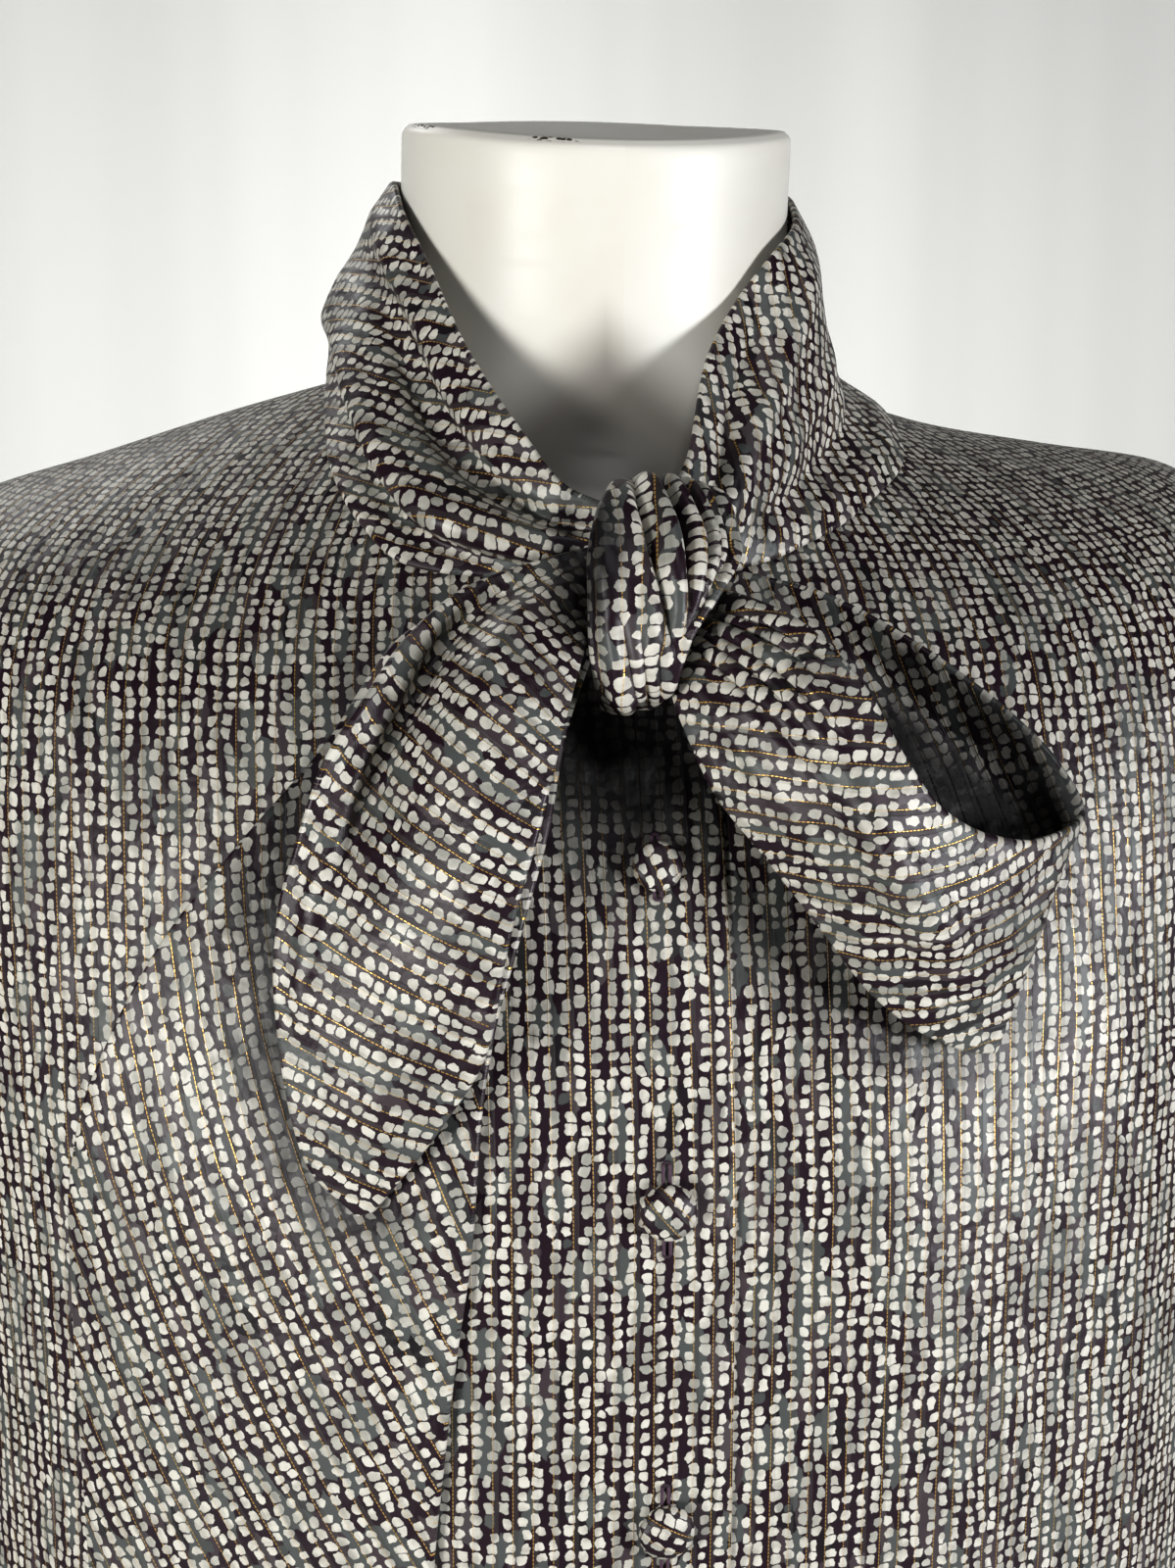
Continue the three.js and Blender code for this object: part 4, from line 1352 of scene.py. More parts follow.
@dataclass
class Panels(Piece):
    """The two fronts and the back, with their hem and the soft unevenness of hanging cloth."""

    columns: int = 56
    hem_turn: float = 9.0
    creases: tuple[Crease, ...] = (
        Crease((60, 560), (95, 480), (80, 330), 16, 1.6),
        Crease((118, 610), (150, 520), (140, 360), 18, 2.2),
        Crease((30, 470), (45, 380), (32, 230), 13, 1.2),
        Crease((96, 640), (128, 560), (112, 470), 14, -1.2),
        Crease((-30, 500), (-42, 400), (-30, 250), 14, 1.4),
        Crease((-172, 600), (-182, 480), (-170, 330), 14, -1.4),
        Crease((-110, 330), (-90, 230), (-105, 120), 18, 2.4),
        Crease((-52, 300), (-64, 210), (-50, 115), 14, -1.6),
        Crease((62, 320), (72, 220), (60, 115), 17, 2.2),
        Crease((140, 330), (128, 230), (146, 118), 16, -1.8),
        Crease((168, 560), (120, 600), (64, 640), 15, 1.5),
        Crease((-176, 540), (-150, 585), (-120, 630), 14, 1.2),
    )
    back_creases: tuple[Crease, ...] = (
        Crease((0, 640), (8, 520), (-4, 380), 22, 1.6),
        Crease((-90, 620), (-70, 500), (-84, 330), 18, -1.8),
        Crease((86, 640), (104, 500), (84, 340), 18, 2.0),
        Crease((-150, 600), (-132, 470), (-150, 300), 18, 2.2),
        Crease((150, 590), (166, 450), (148, 280), 18, -2.0),
        Crease((-40, 330), (-52, 220), (-38, 118), 16, 2.4),
        Crease((54, 320), (40, 220), (56, 118), 17, -2.0),
        Crease((-170, 650), (-110, 690), (-40, 700), 18, 1.4),
        Crease((168, 660), (112, 694), (40, 704), 18, 1.2),
    )

    def hem_thickness(self, points: Array) -> Array:
        """Thickness of the cloth, which doubles where the hem is turned up.

        Args:
            points: Points of the outside.

        Returns:
            Array: Thickness in mm.
        """
        above = points[..., 2] - RINGS.rows[HEM][3]
        return SINGLE_THICK + 0.9 * (1 - ease(above, self.hem_turn - 1, self.hem_turn))

    def front(self, side: Side) -> bpy.types.Object:
        """One front, from its lapped edge past the centre out to the side.

        Args:
            side: Which front.

        Returns:
            bpy.types.Object: The front, in place of its solid.
        """
        way = side.value
        sink = 1.3 if side is Side.VIEWER_RIGHT else 0.0
        ring = np.repeat(panel_rows()[:, None], self.columns + 1, axis=1)
        share = np.linspace(0, 1, self.columns + 1)[None]
        inner = -np.arcsin(LAP / RINGS.read("width", ring)) * 0.96
        outer = QUARTER - cut_back(ring, RINGS.read("front", ring), ARMHOLE_FRONT)
        angle = inner + (outer - inner) * share**1.2
        out = BODY.point(angle, ring)[..., 0]
        under = sink * (1 - ease(out, LAP + 5, LAP + 35))
        place = BODY.point(way * angle, ring)
        lift = relief(self.creases, place[..., [0, 2]])
        settle = ease(ring, 1.0, 3.5) * (1 - ease(share + 0 * ring, 0.93, 1.0)) * ease(np.abs(out), 18, 40)
        lift = lift * settle
        thick = self.hem_thickness(place)
        outside = BODY.off(way * angle, ring, lift - under)
        inside = BODY.off(way * angle, ring, lift - under - thick)
        cut = CutMap(0.0).place(way * angle, ring) + [37.0 * way, 11.0 * way]
        skin = Skin(f"front_{side.wearer}_cloth", rounded_section(outside, inside), section_cut(cut))
        piece = self.dress(skin.build(), f"front_{side.wearer}")
        return piece

    def back(self) -> bpy.types.Object:
        """The back in one piece.

        Returns:
            bpy.types.Object: The back, in place of its solid.
        """
        columns = 2 * self.columns - 20
        ring = np.repeat(panel_rows()[:, None], columns + 1, axis=1)
        share = np.linspace(0, 1, columns + 1)[None]
        start = QUARTER + cut_back(ring, RINGS.read("back", ring), ARMHOLE_BACK)
        angle = start + (2 * math.pi - 2 * start) * share
        place = BODY.point(angle, ring)
        spread = share + 0 * ring
        settle = ease(ring, 1.0, 3.5) * ease(spread, 0.0, 0.05) * (1 - ease(spread, 0.95, 1.0))
        lift = relief(self.back_creases, place[..., [0, 2]]) * settle
        outside = BODY.off(angle, ring, lift)
        inside = BODY.off(angle, ring, lift - self.hem_thickness(place))
        cut = CutMap(math.pi).place(angle, ring) + [211.0, 5.0]
        skin = Skin("back_cloth", rounded_section(outside, inside), section_cut(cut))
        piece = self.dress(skin.build(), "back_panel")
        return piece

    @staticmethod
    def area(points: Array) -> float:
        """Area of a grid of points given in mm, in square metres."""
        along, across = np.gradient(points, axis=0), np.gradient(points, axis=1)
        return float(np.linalg.norm(np.cross(along, across), axis=-1).sum()) * MM * MM


@dataclass
class Tube(Piece):
    """Hollow tubes: the sleeves with their gathers and the cuffs."""

    around: int = 96
    turn_share: float = 0.4
    turn_rise: float = 4.2
    cuff_wall: float = 2.4

    def ring(self, table: Table, way: int, row: Array, turn: Array, lift: Array | float = 0.0) -> Array:
        """Ring of a hanging tube from its outer seam forward round to its inner seam and back.

        Args:
            table: The tube's rings.
            way: Sign along X.
            row: Row number.
            turn: Angles round the tube.
            lift: How far its outer seam is raised.

        Returns:
            Array: Points of shape (..., 3).
        """
        value = {name: table.read(name, row) for name in TUBE}
        half_x = (value["outX"] - value["inX"]) / 2
        half_z = (value["outZ"] - value["inZ"]) / 2
        c, s = np.cos(turn), np.sin(turn)
        x = way * ((value["outX"] + value["inX"]) / 2 + half_x * c)
        z = (value["outZ"] + value["inZ"]) / 2 + half_z * c + lift * (1 + c) / 2
        return np.stack([x, value["midY"] - value["depth"] * s, z], -1)

    def armhole(self, way: int, turn: Array) -> Array:
        """Points of the armhole from the shoulder over the front and back up the back."""
        middle = (SHOULDER + UNDERARM) / 2
        half = (UNDERARM - SHOULDER) / 2 * (SLEEVE_HEAD - 0.004)
        ring = middle - half * np.cos(turn)
        deep = np.where(np.sin(turn) > 0, ARMHOLE_FRONT, ARMHOLE_BACK)
        return BODY.point(way * (QUARTER - deep * SLEEVE_HEAD * np.sin(turn)), ring)

    def shell(self, name: str, outside: Array, thick: float, cut: Array) -> bpy.types.Object:
        """Builds a hollow tube from its outside.

        Args:
            name: The piece's name.
            outside: Points of shape (around, along, 3).
            thick: The wall, in mm.
            cut: Cloth coordinates of shape (around + 1, along, 2).

        Returns:
            bpy.types.Object: The tube.
        """
        closed = np.concatenate([outside[-1:], outside, outside[:1]])
        normal = grid_normals(closed)[1:-1]
        centre = outside.mean(axis=0, keepdims=True)
        facing = np.sign(((outside - centre) * normal).sum(-1).mean())
        inside = outside - normal * facing * thick
        points = rounded_section(outside, inside)
        return Skin(name, points, section_cut(cut), wraps=True).build()

    def sleeve(self, side: Side) -> bpy.types.Object:
        """One sleeve from the armhole to the top of the cuff.

        Args:
            side: Which sleeve.

        Returns:
            bpy.types.Object: The sleeve, in place of its solid.
        """
        way = side.value
        turn = np.linspace(0, 2 * math.pi, self.around, endpoint=False)
        lift = RINGS.rows[SHOULDER][3 if way < 0 else 4] - RINGS.rows[SHOULDER][4]
        start = self.armhole(way, turn)
        first = self.ring(SLEEVE, way, np.zeros_like(turn), turn, lift)
        seam = start + (first - start) * self.turn_share
        seam[:, 2] += self.turn_rise * ((1 - np.cos(turn)) / 2) ** 3
        keys = [start, seam]
        for row in range(SLEEVE.last + 1):
            fade = (1 - row / SLEEVE.last) ** 2
            keys.append(self.ring(SLEEVE, way, np.full_like(turn, row), turn, lift * fade))
        steps = np.concatenate([np.linspace(0, 2, 9)[:-1], np.linspace(2, len(keys) - 1, 110)])
        stacked = np.stack(keys)
        shape = (len(turn), len(steps))
        at = np.broadcast_to(steps[None], shape)
        outside = np.stack(
            [curve(np.broadcast_to(stacked[:, :, None, axis], (len(keys), *shape)), at) for axis in range(3)],
            -1,
        )
        outside = outside + self.drape(outside, turn, steps, len(keys) - 1, way)
        along = np.linalg.norm(np.diff(outside, axis=1), axis=-1)
        down = np.concatenate([np.zeros((shape[0], 1)), np.cumsum(along, axis=1)], axis=1)
        girth = np.linalg.norm(np.roll(outside, -1, axis=0) - outside, axis=-1).sum(0)
        share = np.linspace(0, 1, self.around + 1)[:, None]
        warp = (np.mod(share + 0.5, 1.0) - 0.5) * girth[None]
        warp[self.around // 2 :] = (share[self.around // 2 :] - 1.0) * girth[None]
        cut = np.stack([warp, -np.concatenate([down, down[:1]])], -1) + [90.0 * way, 40.0]
        piece = self.shell(f"sleeve_{side.wearer}_cloth", outside, SINGLE_THICK, cut)
        self.dress(piece, f"sleeve_{side.wearer}")
        min(0.25, Panels.area(outside))
        return piece

    def drape(self, outside: Array, turn: Array, steps: Array, last: int, way: int) -> Array:
        """Soft folds of a hanging sleeve: long waves, elbow creases and gathers at the cuff.

        Args:
            outside: Points of shape (around, along, 3).
            turn: Angles round the sleeve.
            steps: Row numbers along it.
            last: The last row number.
            way: Sign along X.

        Returns:
            Array: Shift of each point, in mm.
        """
        centre = outside.mean(axis=0, keepdims=True)
        out = unit(outside - centre)
        angle = turn[:, None]
        along = np.clip((steps - 2) / (last - 2), 0, 1)[None]
        start = ease(along, 0.02, 0.25)
        waves = 1.5 * np.cos(5 * angle + 0.7 * way + 2.2 * along)
        waves = waves + 1.1 * np.cos(8 * angle - 1.3 + 3.0 * along)
        elbow = 2.2 * np.exp(-(((along - 0.52) / 0.05) ** 2)) * np.cos(3 * angle + 9 * along)
        near_cuff = ease(along, 0.78, 0.985) * (1 - 0.75 * ease(along, 0.985, 1.0))
        gathers = near_cuff * (1.5 * np.cos(17 * angle + 0.6) + 0.8 * np.cos(29 * angle + 1.9))
        head = ease(steps, 0.5, 2.0)[None] * (1 - ease(along, 0.02, 0.12)) * np.cos(angle / 2) ** 8
        puckers = 0.8 * head * np.cos(23 * angle)
        hold = 1 - ease(along, 0.985, 1.0) * 0.9
        return out * ((start * hold * (waves + elbow) + gathers + puckers) - 0.6 * start)[..., None]

    def cuff(self, side: Side) -> bpy.types.Object:
        """One cuff, lapped at its back.

        Args:
            side: Which cuff.

        Returns:
            bpy.types.Object: The cuff, in place of its solid.
        """
        way = side.value
        turn = np.linspace(0, 2 * math.pi, self.around, endpoint=False)
        row = np.linspace(0, 1, 16)
        angle, rows = np.meshgrid(turn, row, indexing="ij")
        outside = self.ring(CUFF, way, rows, angle)
        centre = outside.mean(axis=0, keepdims=True)
        lap = np.mod(angle - 1.36 * math.pi, 2 * math.pi)
        step = 0.8 * ease(lap, 0.0, 0.05) * (1 - ease(lap, 0.3, 2.6))
        outside = outside + unit(outside - centre) * (step - 0.4)[..., None]
        girth = float(np.linalg.norm(np.roll(outside, -1, axis=0) - outside, axis=-1).sum(0).mean())
        share = np.linspace(0, 1, self.around + 1)[:, None]
        cut = np.stack(np.broadcast_arrays(share * girth, rows[:1] * 62.0), -1) + [17.0 * way, 3.0]
        piece = self.shell(f"cuff_{side.wearer}_cloth", outside, self.cuff_wall - 0.2, cut)
        return self.dress(piece, f"cuff_{side.wearer}")


def swell(table: Table, names: tuple[str, ...], row: Array, u: Array) -> Array:
    """How far a strip swells from the plane between its edges.

    Args:
        table: The strip's rows.
        names: Its columns of swells, evenly spaced across.
        row: Row numbers.
        u: Shares of the way across.

    Returns:
        Array: Swell in mm.
    """
    swells = [table.read(name, row) for name in names]
    nothing = np.zeros_like(swells[0])
    return curve(np.stack([nothing, *swells, nothing]), (len(names) + 1) * u)


@dataclass
class Strip(Piece):
    """A strip of double cloth: its middle surface, its grain and what creases it."""

    name: str
    nodes: tuple[str, ...]
    surface: Callable[[Array, Array], Array]
    grain: float
    rows: int
    columns: int
    facing: tuple[float, float, float] = (0.0, -1.0, 0.0)
    creases: tuple[Crease, ...] = ()
    thick: float = DOUBLE_THICK
    shift: tuple[float, float] = (0.0, 0.0)
    start: float | None = None

    def build(self) -> bpy.types.Object:
        """Makes the strip.

        Returns:
            bpy.types.Object: The strip, in place of its solid.
        """
        s, u = share_grid(self.rows, self.columns)
        middle = self.surface(s, u)
        coarse = lay_flat(self.surface(*share_grid(FLAT_ROWS, FLAT_COLUMNS)))
        flat = resample(coarse, s * FLAT_ROWS, u * FLAT_COLUMNS)

        def where(line: Array) -> Array:
            """Turns shares across and along the strip into places in the flat cloth."""
            return resample(coarse, line[:, 1] * FLAT_ROWS, line[:, 0] * FLAT_COLUMNS)

        lift = relief(self.creases, flat, where)
        normal = grid_normals(middle)
        sign = np.sign((normal * np.array(self.facing)).sum(-1).mean())
        middle = middle + normal * (sign * lift)[..., None]
        normal = grid_normals(middle) * sign
        outside = middle + normal * self.thick / 2
        inside = middle - normal * self.thick / 2
        if self.start is not None:
            outside[0, :, 0] = self.start
            inside[0, :, 0] = self.start
        cosine = math.cos(math.radians(self.grain))
        sine = math.sin(math.radians(self.grain))
        across, along = flat[..., 0], flat[..., 1]
        cut = np.stack([across * cosine - along * sine, across * sine + along * cosine], -1)
        cut = cut + np.array(self.shift)
        skin = Skin(self.name, rounded_section(outside, inside), section_cut(cut))
        piece = self.dress(skin.build(), *self.nodes)
        low, high = coarse.reshape(-1, 2).min(0), coarse.reshape(-1, 2).max(0)
        width, length = (high - low) * MM
        Panels.area(middle)
        return piece


def lying(table: Table) -> Callable[[Array, Array], Array]:
    """Middle surface of a strip that lies over the chest.

    Args:
        table: Both edges as x, z and height over the chest, and the swell between them.

    Returns:
        Callable: Points for shares along and across the strip.
    """

    def surface(s: Array, u: Array) -> Array:
        """Points at shares along and across."""
        row = s * table.last

        def mix(name: str) -> Array:
            """A value between the two edges."""
            return table.read(f"{name}0", row) * (1 - u) + table.read(f"{name}1", row) * u

        x, z = mix("x"), mix("z")
        return np.stack([x, BODY.front_y(x, z) - mix("lift") - swell(table, STRIP_SWELLS, row, u), z], -1)

    return surface


def collar_surface(table: Table, way: int) -> Callable[[Array, Array], Array]:
    """Middle surface of one half of the collar, up from the neckline.

    Args:
        table: The lower edge on the blouse, the upper edge, and the swell between them.
        way: Sign along X.

    Returns:
        Callable: Points for shares along and across the collar.
    """

    def surface(s: Array, u: Array) -> Array:
        """Points at shares along and across."""
        row = s * table.last
        angle = np.radians(table.read("angle", row)) * way
        low = BODY.off(angle, table.read("ring", row), np.full_like(row, SEAM + DOUBLE / 2 + 0.25))
        top = np.stack([way * table.read("topX", row), table.read("topY", row), table.read("topZ", row)], -1)
        point = low * (1 - u)[..., None] + top * u[..., None]
        out = unit(np.stack([point[..., 0], point[..., 1] + 10], -1))
        out = out * swell(table, COLLAR_SWELLS, row, u)[..., None]
        return point + np.concatenate([out, np.zeros_like(u)[..., None]], -1)

    return surface


def knot_surface(s: Array, u: Array) -> Array:
    """Middle surface of the knot: a band over the front of the tie.

    Args:
        s: Shares along, from behind the top round to beneath.
        u: Shares across.

    Returns:
        Array: Points of shape (..., 3).
    """
    row = s * KNOT.last

    def mix(name: str) -> Array:
        """A value between the two edges."""
        return KNOT.read(f"{name}0", row) * (1 - u) + KNOT.read(f"{name}1", row) * u

    point = np.stack([mix("x"), mix("y"), mix("z")], -1)
    out = unit(point[..., 1:] - np.array(KNOT_MIDDLE))
    out = out * swell(KNOT, STRIP_SWELLS, row, u)[..., None]
    return point + np.concatenate([np.zeros_like(u)[..., None], out], -1)


@dataclass
class Tie:
    """Collar halves, tails, loop and knot of the tied neck band."""

    finish: bpy.types.Material
    under: bpy.types.Material
    slot: str

    def strips(self) -> list[Strip]:
        """All strips of the tie.

        Returns:
            list[Strip]: The strips, ready to build.
        """
        common = {"finish": self.finish, "slot": self.slot}
        return [
            Strip(
                name="collar_right_cloth",
                nodes=("collar_right",),
                surface=collar_surface(COLLAR_RIGHT, -1),
                grain=21.0,
                rows=150,
                columns=44,
                facing=(-0.5, -0.8, 0.2),
                shift=(12.0, 30.0),
                start=-SEAM / 2,
                creases=(
                    Crease((0.62, 0.44), (0.50, 0.64), (0.68, 0.97), 3.4, -3.0),
                    Crease((0.36, 0.40), (0.26, 0.62), (0.42, 0.95), 4.6, 1.8),
                    Crease((0.84, 0.34), (0.80, 0.56), (0.74, 0.76), 4.0, 1.4),
                    Crease((0.2, 0.5), (0.12, 0.66), (0.2, 0.86), 4.0, -1.6),
                    Crease((0.7, 0.12), (0.6, 0.2), (0.66, 0.3), 6.0, 1.6),
                ),
                **common,
            ),
            Strip(
                name="collar_left_cloth",
                nodes=("collar_left",),
                surface=collar_surface(COLLAR_LEFT, 1),
                grain=-50.0,
                rows=150,
                columns=44,
                facing=(0.5, -0.8, 0.2),
                shift=(71.0, 8.0),
                start=SEAM / 2,
                creases=(
                    Crease((0.86, 0.5), (0.66, 0.7), (0.52, 0.97), 3.6, 2.6),
                    Crease((0.94, 0.62), (0.82, 0.78), (0.66, 0.96), 3.0, -2.2),
                    Crease((0.5, 0.48), (0.4, 0.6), (0.44, 0.78), 4.2, 1.6),
                    Crease((0.2, 0.36), (0.18, 0.6), (0.3, 0.92), 3.6, -2.6),
                    Crease((0.06, 0.4), (0.04, 0.6), (0.1, 0.85), 3.0, 1.6),
                ),
                **common,
            ),
            Strip(
                name="tail_long_cloth",
                nodes=("tail_long",),
                surface=lying(TAIL_LONG),
                grain=33.5,
                rows=170,
                columns=44,
                shift=(5.0, 14.0),
                creases=(
                    Crease((0.3, 0.24), (0.4, 0.4), (0.34, 0.7), 12.0, 0.9),
                    Crease((0.75, 0.3), (0.7, 0.5), (0.8, 0.8), 10.0, 0.7),
                ),
                finish=self.under,
                slot=self.slot,
            ),
            Strip(
                name="tail_short_cloth",
                nodes=("tail_short",),
                surface=lying(TAIL_SHORT),
                grain=73.0,
                rows=120,
                columns=44,
                shift=(29.0, 63.0),
                creases=(
                    Crease((0.04, 0.16), (0.2, 0.4), (0.12, 0.78), 3.0, 3.0),
                    Crease((0.2, 0.2), (0.3, 0.36), (0.24, 0.56), 4.2, -3.4),
                    Crease((0.55, 0.1), (0.6, 0.3), (0.5, 0.55), 7.0, 1.4),
                ),
                **common,
            ),
            Strip(
                name="bow_loop_cloth",
                nodes=("bow_loop",),
                surface=lying(LOOP),
                grain=-31.0,
                rows=220,
                columns=48,
                shift=(44.0, 0.0),
                creases=(
                    Crease((0.66, 0.03), (0.52, 0.08), (0.52, 0.24), 1.3, -1.6),
                    Crease((0.54, 0.02), (0.40, 0.07), (0.40, 0.22), 1.2, -1.8),
                    Crease((0.46, 0.02), (0.30, 0.06), (0.28, 0.25), 1.2, -2.0),
                    Crease((0.38, 0.02), (0.20, 0.05), (0.17, 0.2), 1.1, -1.8),
                    Crease((0.28, 0.02), (0.11, 0.05), (0.07, 0.22), 1.1, -1.6),
                    Crease((0.42, 0.02), (0.25, 0.06), (0.22, 0.24), 1.4, 1.0),
                    Crease((0.8, 0.04), (0.72, 0.12), (0.74, 0.3), 3.0, 1.4),
                    Crease((0.2, 0.18), (0.42, 0.3), (0.5, 0.46), 5.0, 1.8),
                    Crease((0.5, 0.24), (0.7, 0.34), (0.8, 0.48), 5.0, -1.8),
                    Crease((0.3, 0.4), (0.5, 0.46), (0.7, 0.54), 4.0, -1.4),
                ),
                **common,
            ),
            Strip(
                name="tie_knot_cloth",
                nodes=("tie_knot",),
                surface=knot_surface,
                grain=8.0,
                rows=70,
                columns=64,
                shift=(3.0, 21.0),
                creases=(
                    Crease((0.86, 0.16), (0.95, 0.36), (0.97, 0.6), 1.0, -2.2),
                    Crease((0.7, 0.13), (0.9, 0.36), (0.96, 0.63), 1.1, -2.8),
                    Crease((0.54, 0.12), (0.78, 0.34), (0.95, 0.65), 1.2, -3.0),
                    Crease((0.36, 0.12), (0.56, 0.36), (0.93, 0.66), 1.4, -3.8),
                    Crease((0.16, 0.16), (0.26, 0.42), (0.9, 0.69), 1.8, -5.0),
                    Crease((0.62, 0.12), (0.84, 0.36), (0.95, 0.62), 1.2, 1.6),
                    Crease((0.45, 0.11), (0.68, 0.35), (0.93, 0.63), 1.3, 2.0),
                    Crease((0.26, 0.12), (0.44, 0.38), (0.9, 0.65), 1.6, 2.2),
                    Crease((0.0, 0.34), (0.16, 0.6), (0.5, 0.98), 3.4, 2.6),
                    Crease((0.24, 0.6), (0.42, 0.74), (0.66, 0.99), 1.5, -3.2),
                    Crease((0.44, 0.62), (0.62, 0.76), (0.86, 0.97), 1.5, -2.6),
                    Crease((0.7, 0.68), (0.84, 0.78), (0.97, 0.92), 1.3, -2.0),
                ),
                **common,
            ),
        ]

    def build(self) -> list[bpy.types.Object]:
        """Makes every strip.

        Returns:
            list[bpy.types.Object]: The strips.
        """
        return [strip.build() for strip in self.strips()]


@dataclass
class Buttons(Piece):
    """Covered buttons down the front and on the cuffs, with worked buttonholes."""

    thread: bpy.types.Material
    heights: tuple[tuple[float, float], ...] = (
        (643, 6.7),
        (555, 7.6),
        (465, 7.6),
        (375, 7.6),
        (285, 7.6),
        (195, 7.6),
    )
    x: float = -2.0
    cuff_radius: float = 6.0
    around: int = 64

    def cover(self, name: str, node: str, radius: float, place: Array, facing: Array, turn: float) -> None:
        """One covered button.

        Args:
            name: The piece's name.
            node: The solid it stands for.
            radius: Its radius, in mm.
            place: Middle of its back.
            facing: Direction its front faces.
            turn: Turn of its cloth, in radians.
        """
        outline = np.array(
            [(0.0, 0.0), (0.8, 0.0), (0.94, 0.1), (1.0, 0.26), (0.96, 0.42), (0.84, 0.56), (0.64, 0.67),
             (0.42, 0.735), (0.2, 0.765), (0.0, 0.775)]
        )
        steps = np.linspace(0, len(outline) - 1, 34)
        reach, rise = curve(outline[:, 0], steps), curve(outline[:, 1], steps)
        angle = np.linspace(0, 2 * math.pi, self.around, endpoint=False)
        pinch = 0.018 * np.exp(-(((rise - 0.2) / 0.16) ** 2))
        fold = 1 + pinch[None] * np.cos(19 * angle + 0.4)[:, None]
        up = unit(np.array([0.0, 0.0, 1.0]) - facing * facing[2])
        side = np.cross(facing, up)
        reach_all = reach[None] * fold * radius
        points = (
            np.asarray(place)
            + facing * (rise * radius)[None, :, None]
            + side * (reach_all * np.cos(angle)[:, None])[..., None]
            + up * (reach_all * np.sin(angle)[:, None])[..., None]
        )
        closed = np.concatenate([angle, [2 * math.pi]]) + turn
        length = np.concatenate([[0], np.cumsum(np.hypot(np.diff(reach), np.diff(rise)))])
        flat = (length[-1] - length) * radius
        cut = np.stack([flat[None] * np.cos(closed)[:, None], flat[None] * np.sin(closed)[:, None]], -1)
        cut = cut + [13.0 * turn, 7.0 + 31.0 * turn]
        self.dress(Skin(name, points, cut, wraps=True, poles=True).build(), node)

    def buttonhole(self, name: str, angle: float, ring: float, half: float) -> None:
        """A worked buttonhole: a bar of thread round an upright slot.

        Args:
            name: The piece's name.
            angle: Angle of its middle round the body.
            ring: Ring of its middle.
            half: Half its length, in mm.
        """
        turn = np.linspace(0, 2 * math.pi, 72, endpoint=False)
        reach = half - 0.9
        up = np.clip(np.sin(turn) * 3.0, -1, 1) * reach + np.sin(turn) * 0.9
        side = np.cos(turn) * 0.95
        centre = BODY.point(np.array(angle), np.array(ring))
        spot, row = BODY.locate(centre[0] + side, centre[2] + up)
        middle = BODY.off(spot, row, np.full_like(turn, 0.32))
        outward = BODY.outward(spot, row)
        ahead = unit(np.roll(middle, -1, axis=0) - np.roll(middle, 1, axis=0))
        sideways = np.cross(ahead, outward)
        around = np.linspace(0, 2 * math.pi, 8, endpoint=False)
        whip = 1 + 0.12 * np.cos(turn * 60)
        radius = 0.55 * whip[:, None, None]
        flattened = outward[:, None] * 0.8 * np.sin(around)[None, :, None]
        points = middle[:, None] + radius * (sideways[:, None] * np.cos(around)[None, :, None] + flattened)
        length = np.linspace(0, 4 * half, len(turn) + 1)
        cut = np.stack(np.broadcast_arrays(length[:, None], (around * 0.6)[None]), -1)
        piece = Skin(name, points, cut, wraps=True).build()
        piece.data.materials.append(self.thread)
        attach(piece, "root")

    def ring_at(self, z: float) -> float:
        """Ring of the front whose centre is at a height."""
        rings = np.linspace(0, HEM, 2000)
        return float(np.interp(-z, -RINGS.read("frontZ", rings), rings))

    def build(self) -> None:
        """Makes every button and buttonhole."""
        for number, (z, radius) in enumerate(self.heights, start=1):
            ring = self.ring_at(z)
            angle = math.asin(self.x / float(RINGS.read("width", np.array(ring))))
            facing = BODY.outward(np.array(angle), np.array(ring))
            place = BODY.off(np.array(angle), np.array(ring), np.array(0.35))
            self.cover(f"button_{number}_cover", f"button_{number}", radius, place, facing, 0.35 * number)
            self.buttonhole(f"buttonhole_{number}", angle, ring, 12.6 if number > 1 else 8.2)
        tube = Tube(self.finish, self.slot)
        for side in Side:
            turn = np.array(1.5 * math.pi)
            place = tube.ring(CUFF, side.value, np.array(0.5), turn) + [0, 0.7, 0]
            name = f"cuff_button_{side.wearer}"
            facing = np.array([0.0, 1.0, 0.0])
            self.cover(f"{name}_cover", name, self.cuff_radius, place, facing, 2.0 + side.value)


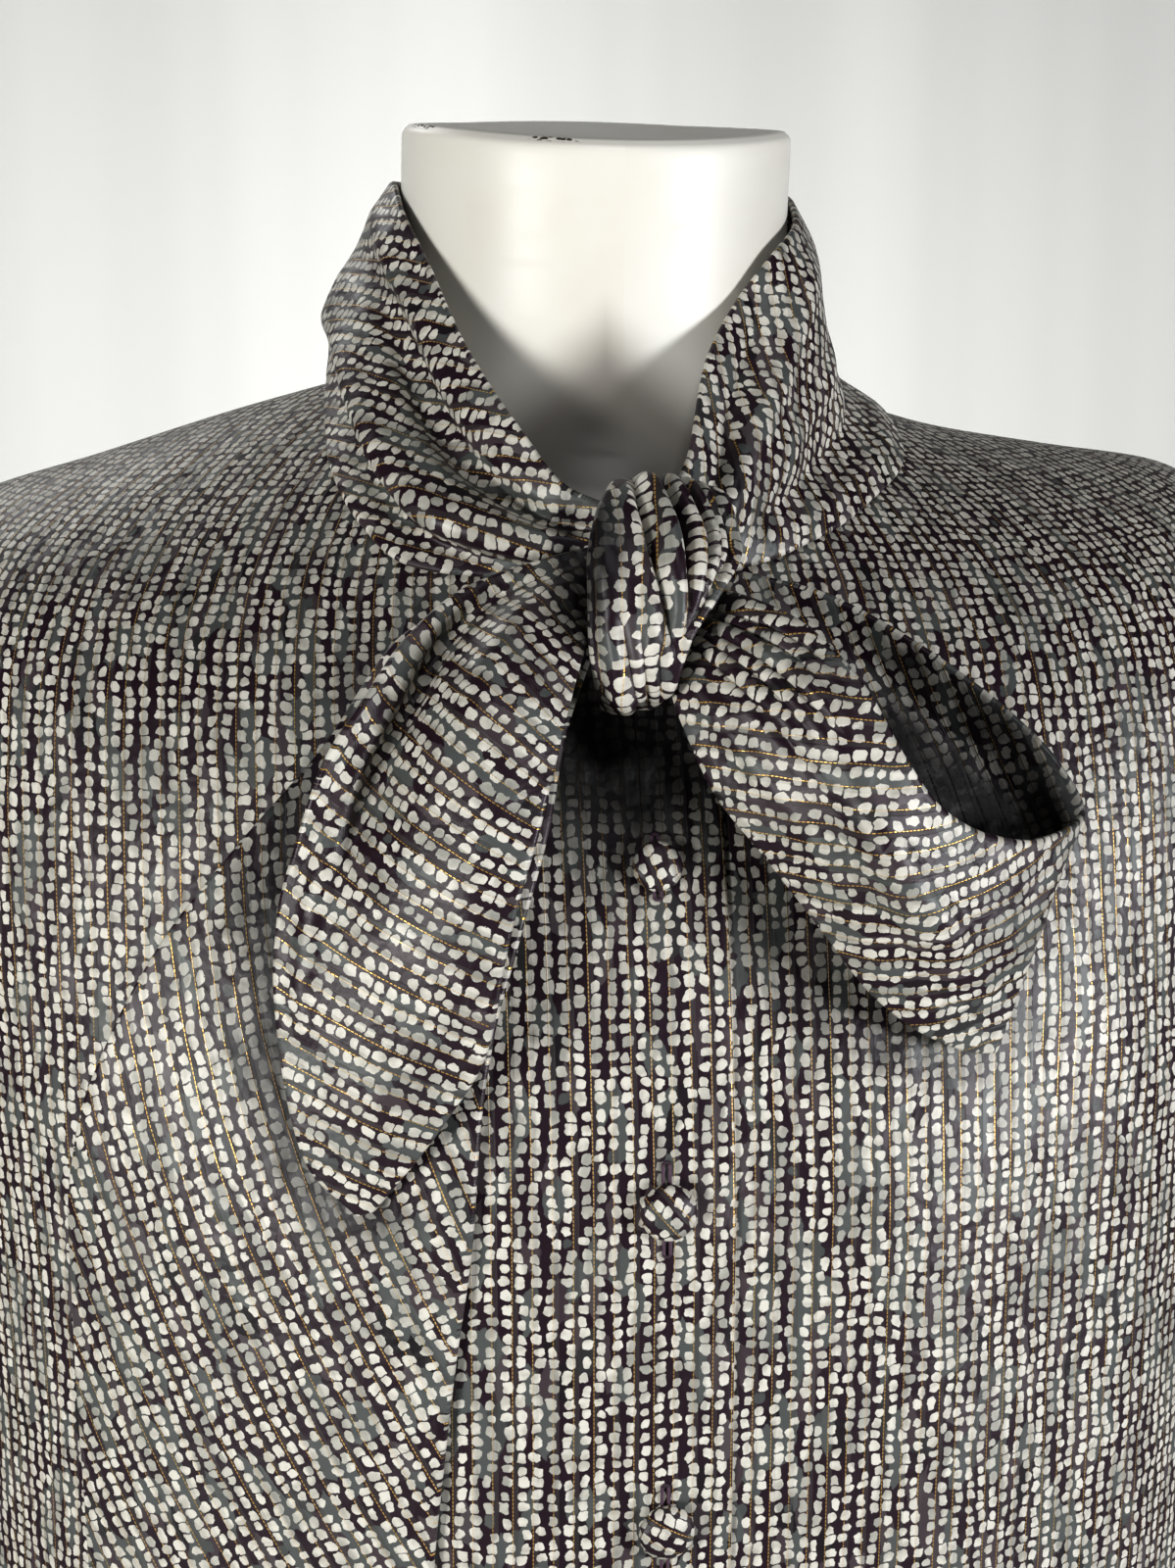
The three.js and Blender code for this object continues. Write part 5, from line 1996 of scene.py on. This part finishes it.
@dataclass
class Studio:
    """Camera, soft lights, pale floor and backdrop."""

    place: tuple[float, float, float] = (-0.101, -0.6755, 0.762)
    pitch: float = 10.0
    yaw: float = 8.5
    lens: float = 48.9

    def camera(self) -> None:
        """Puts the camera where the photograph was taken from."""
        data = bpy.data.cameras.new("camera")
        data.lens = self.lens
        data.sensor_width = 36.0
        data.clip_start = 0.01
        view = bpy.data.objects.new("camera", data)
        view.location = self.place
        view.rotation_euler = (math.radians(90 - self.pitch), 0.0, math.radians(-self.yaw))
        bpy.context.scene.collection.objects.link(view)
        bpy.context.scene.camera = view

    def light(
        self,
        name: str,
        place: Sequence[float],
        aim: Sequence[float],
        size: float,
        power: float,
        tint: str,
    ) -> None:
        """One soft square light.

        Args:
            name: The light's name.
            place: Where it hangs, in m.
            aim: The point it faces, in m.
            size: Its side, in m.
            power: Its power, in W.
            tint: Its colour.
        """
        data = bpy.data.lights.new(name, "AREA")
        data.shape = "SQUARE"
        data.size = size
        data.energy = power
        data.color = colour(tint)[:3]
        lamp = bpy.data.objects.new(name, data)
        lamp.location = place
        lamp.rotation_euler = (Vector(aim) - Vector(place)).to_track_quat("-Z", "Y").to_euler()
        bpy.context.scene.collection.objects.link(lamp)

    @staticmethod
    def around(azimuth: float, distance: float, height: float) -> tuple[float, float, float]:
        """A place round the object.

        Args:
            azimuth: Degrees from the front toward the viewer's right.
            distance: Distance from the middle, in m.
            height: Height over the floor, in m.

        Returns:
            tuple[float, float, float]: The place, in m.
        """
        turn = math.radians(azimuth)
        return (distance * math.sin(turn), -distance * math.cos(turn), height)

    def sweep(self, finish: bpy.types.Material) -> None:
        """A floor that curves up into a backdrop.

        Args:
            finish: Its paint.
        """
        radius, depth, height, half = 0.6, 2.2, 3.2, 4.0
        turn = np.linspace(0, QUARTER, 25)
        y = np.concatenate([[-3.0], depth - radius + radius * np.sin(turn), [depth]])
        z = np.concatenate([[0.0], radius - radius * np.cos(turn), [height]]) - 0.0005
        points = [(x, a, b) for x in (-half, half) for a, b in zip(y, z)]
        count = len(y)
        faces = [(n, n + 1, count + n + 1, count + n) for n in range(count - 1)]
        mesh = bpy.data.meshes.new("backdrop")
        mesh.from_pydata(points, [], faces)
        mesh.polygons.foreach_set("use_smooth", [True] * len(faces))
        mesh.materials.append(finish)
        sheet = bpy.data.objects.new("backdrop", mesh)
        bpy.context.scene.collection.objects.link(sheet)

    def build(self, finish: bpy.types.Material) -> None:
        """Sets up the whole studio.

        Args:
            finish: Paint of the floor and the backdrop.
        """
        self.camera()
        self.sweep(finish)
        self.light("key_left", self.around(-46, 1.3, 0.5), FRONT_AIM, 0.32, 12.5, "#fdfdfb")
        self.light("key_right", self.around(50, 1.3, 0.56), FRONT_AIM, 0.24, 12.5, "#fbfcff")
        self.light("top", self.around(6, 0.95, 1.7), (0.0, -0.06, 0.7), 0.3, 2.8, "#ffffff")
        self.light("behind", self.around(215, 1.7, 2.1), (0.0, 0.1, 0.45), 0.8, 9.0, "#ffffff")
        self.light("wall", (0.25, 0.7, 0.3), (0.5, 2.2, 0.9), 1.6, 100.0, "#ffffff")
        world = bpy.data.worlds.new("studio")
        world.use_nodes = True
        back = world.node_tree.nodes["Background"]
        back.inputs["Color"].default_value = (0.9, 0.92, 0.95, 1.0)
        back.inputs["Strength"].default_value = 0.02
        bpy.context.scene.world = world
        bpy.context.scene.view_settings.view_transform = "Standard"
        bpy.context.scene.view_settings.look = "Medium High Contrast"


def main() -> None:
    """Builds every piece in order and reports it."""
    logging.basicConfig(level=logging.INFO, format="%(name)s %(message)s")
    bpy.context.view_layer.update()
    # The cloth finishes carry painted shadows: on the chest under the bow, on the tie, and on the long tail
    # beside the short tail.
    cloth = PebbleSatin("pebble_satin", PAINTED_SHADOWS_UNDER_BOW).build()
    double = PebbleSatin("pebble_satin_double", PAINTED_SHADOWS_ON_TIE).build()
    under = PebbleSatin("pebble_satin_under", PAINTED_SHADOWS_BESIDE_SHORT_TAIL).build()
    thread = SpunThread("aubergine_thread", "#3b1832").build()
    DressForm(GlossForm("gloss_form").build(), "form").build()
    panels = Panels(cloth, "cloth")
    for side in Side:
        panels.front(side)
    panels.back()
    for side in Side:
        Tube(cloth, "cloth").sleeve(side)
        Tube(double, "cloth_double").cuff(side)
    Tie(double, under, "cloth_double").build()
    Buttons(double, "button_cover", thread).build()
    Studio().build(PlainWall("pale_wall", "#8c8c8a").build())


if __name__ == "__main__":
    main()
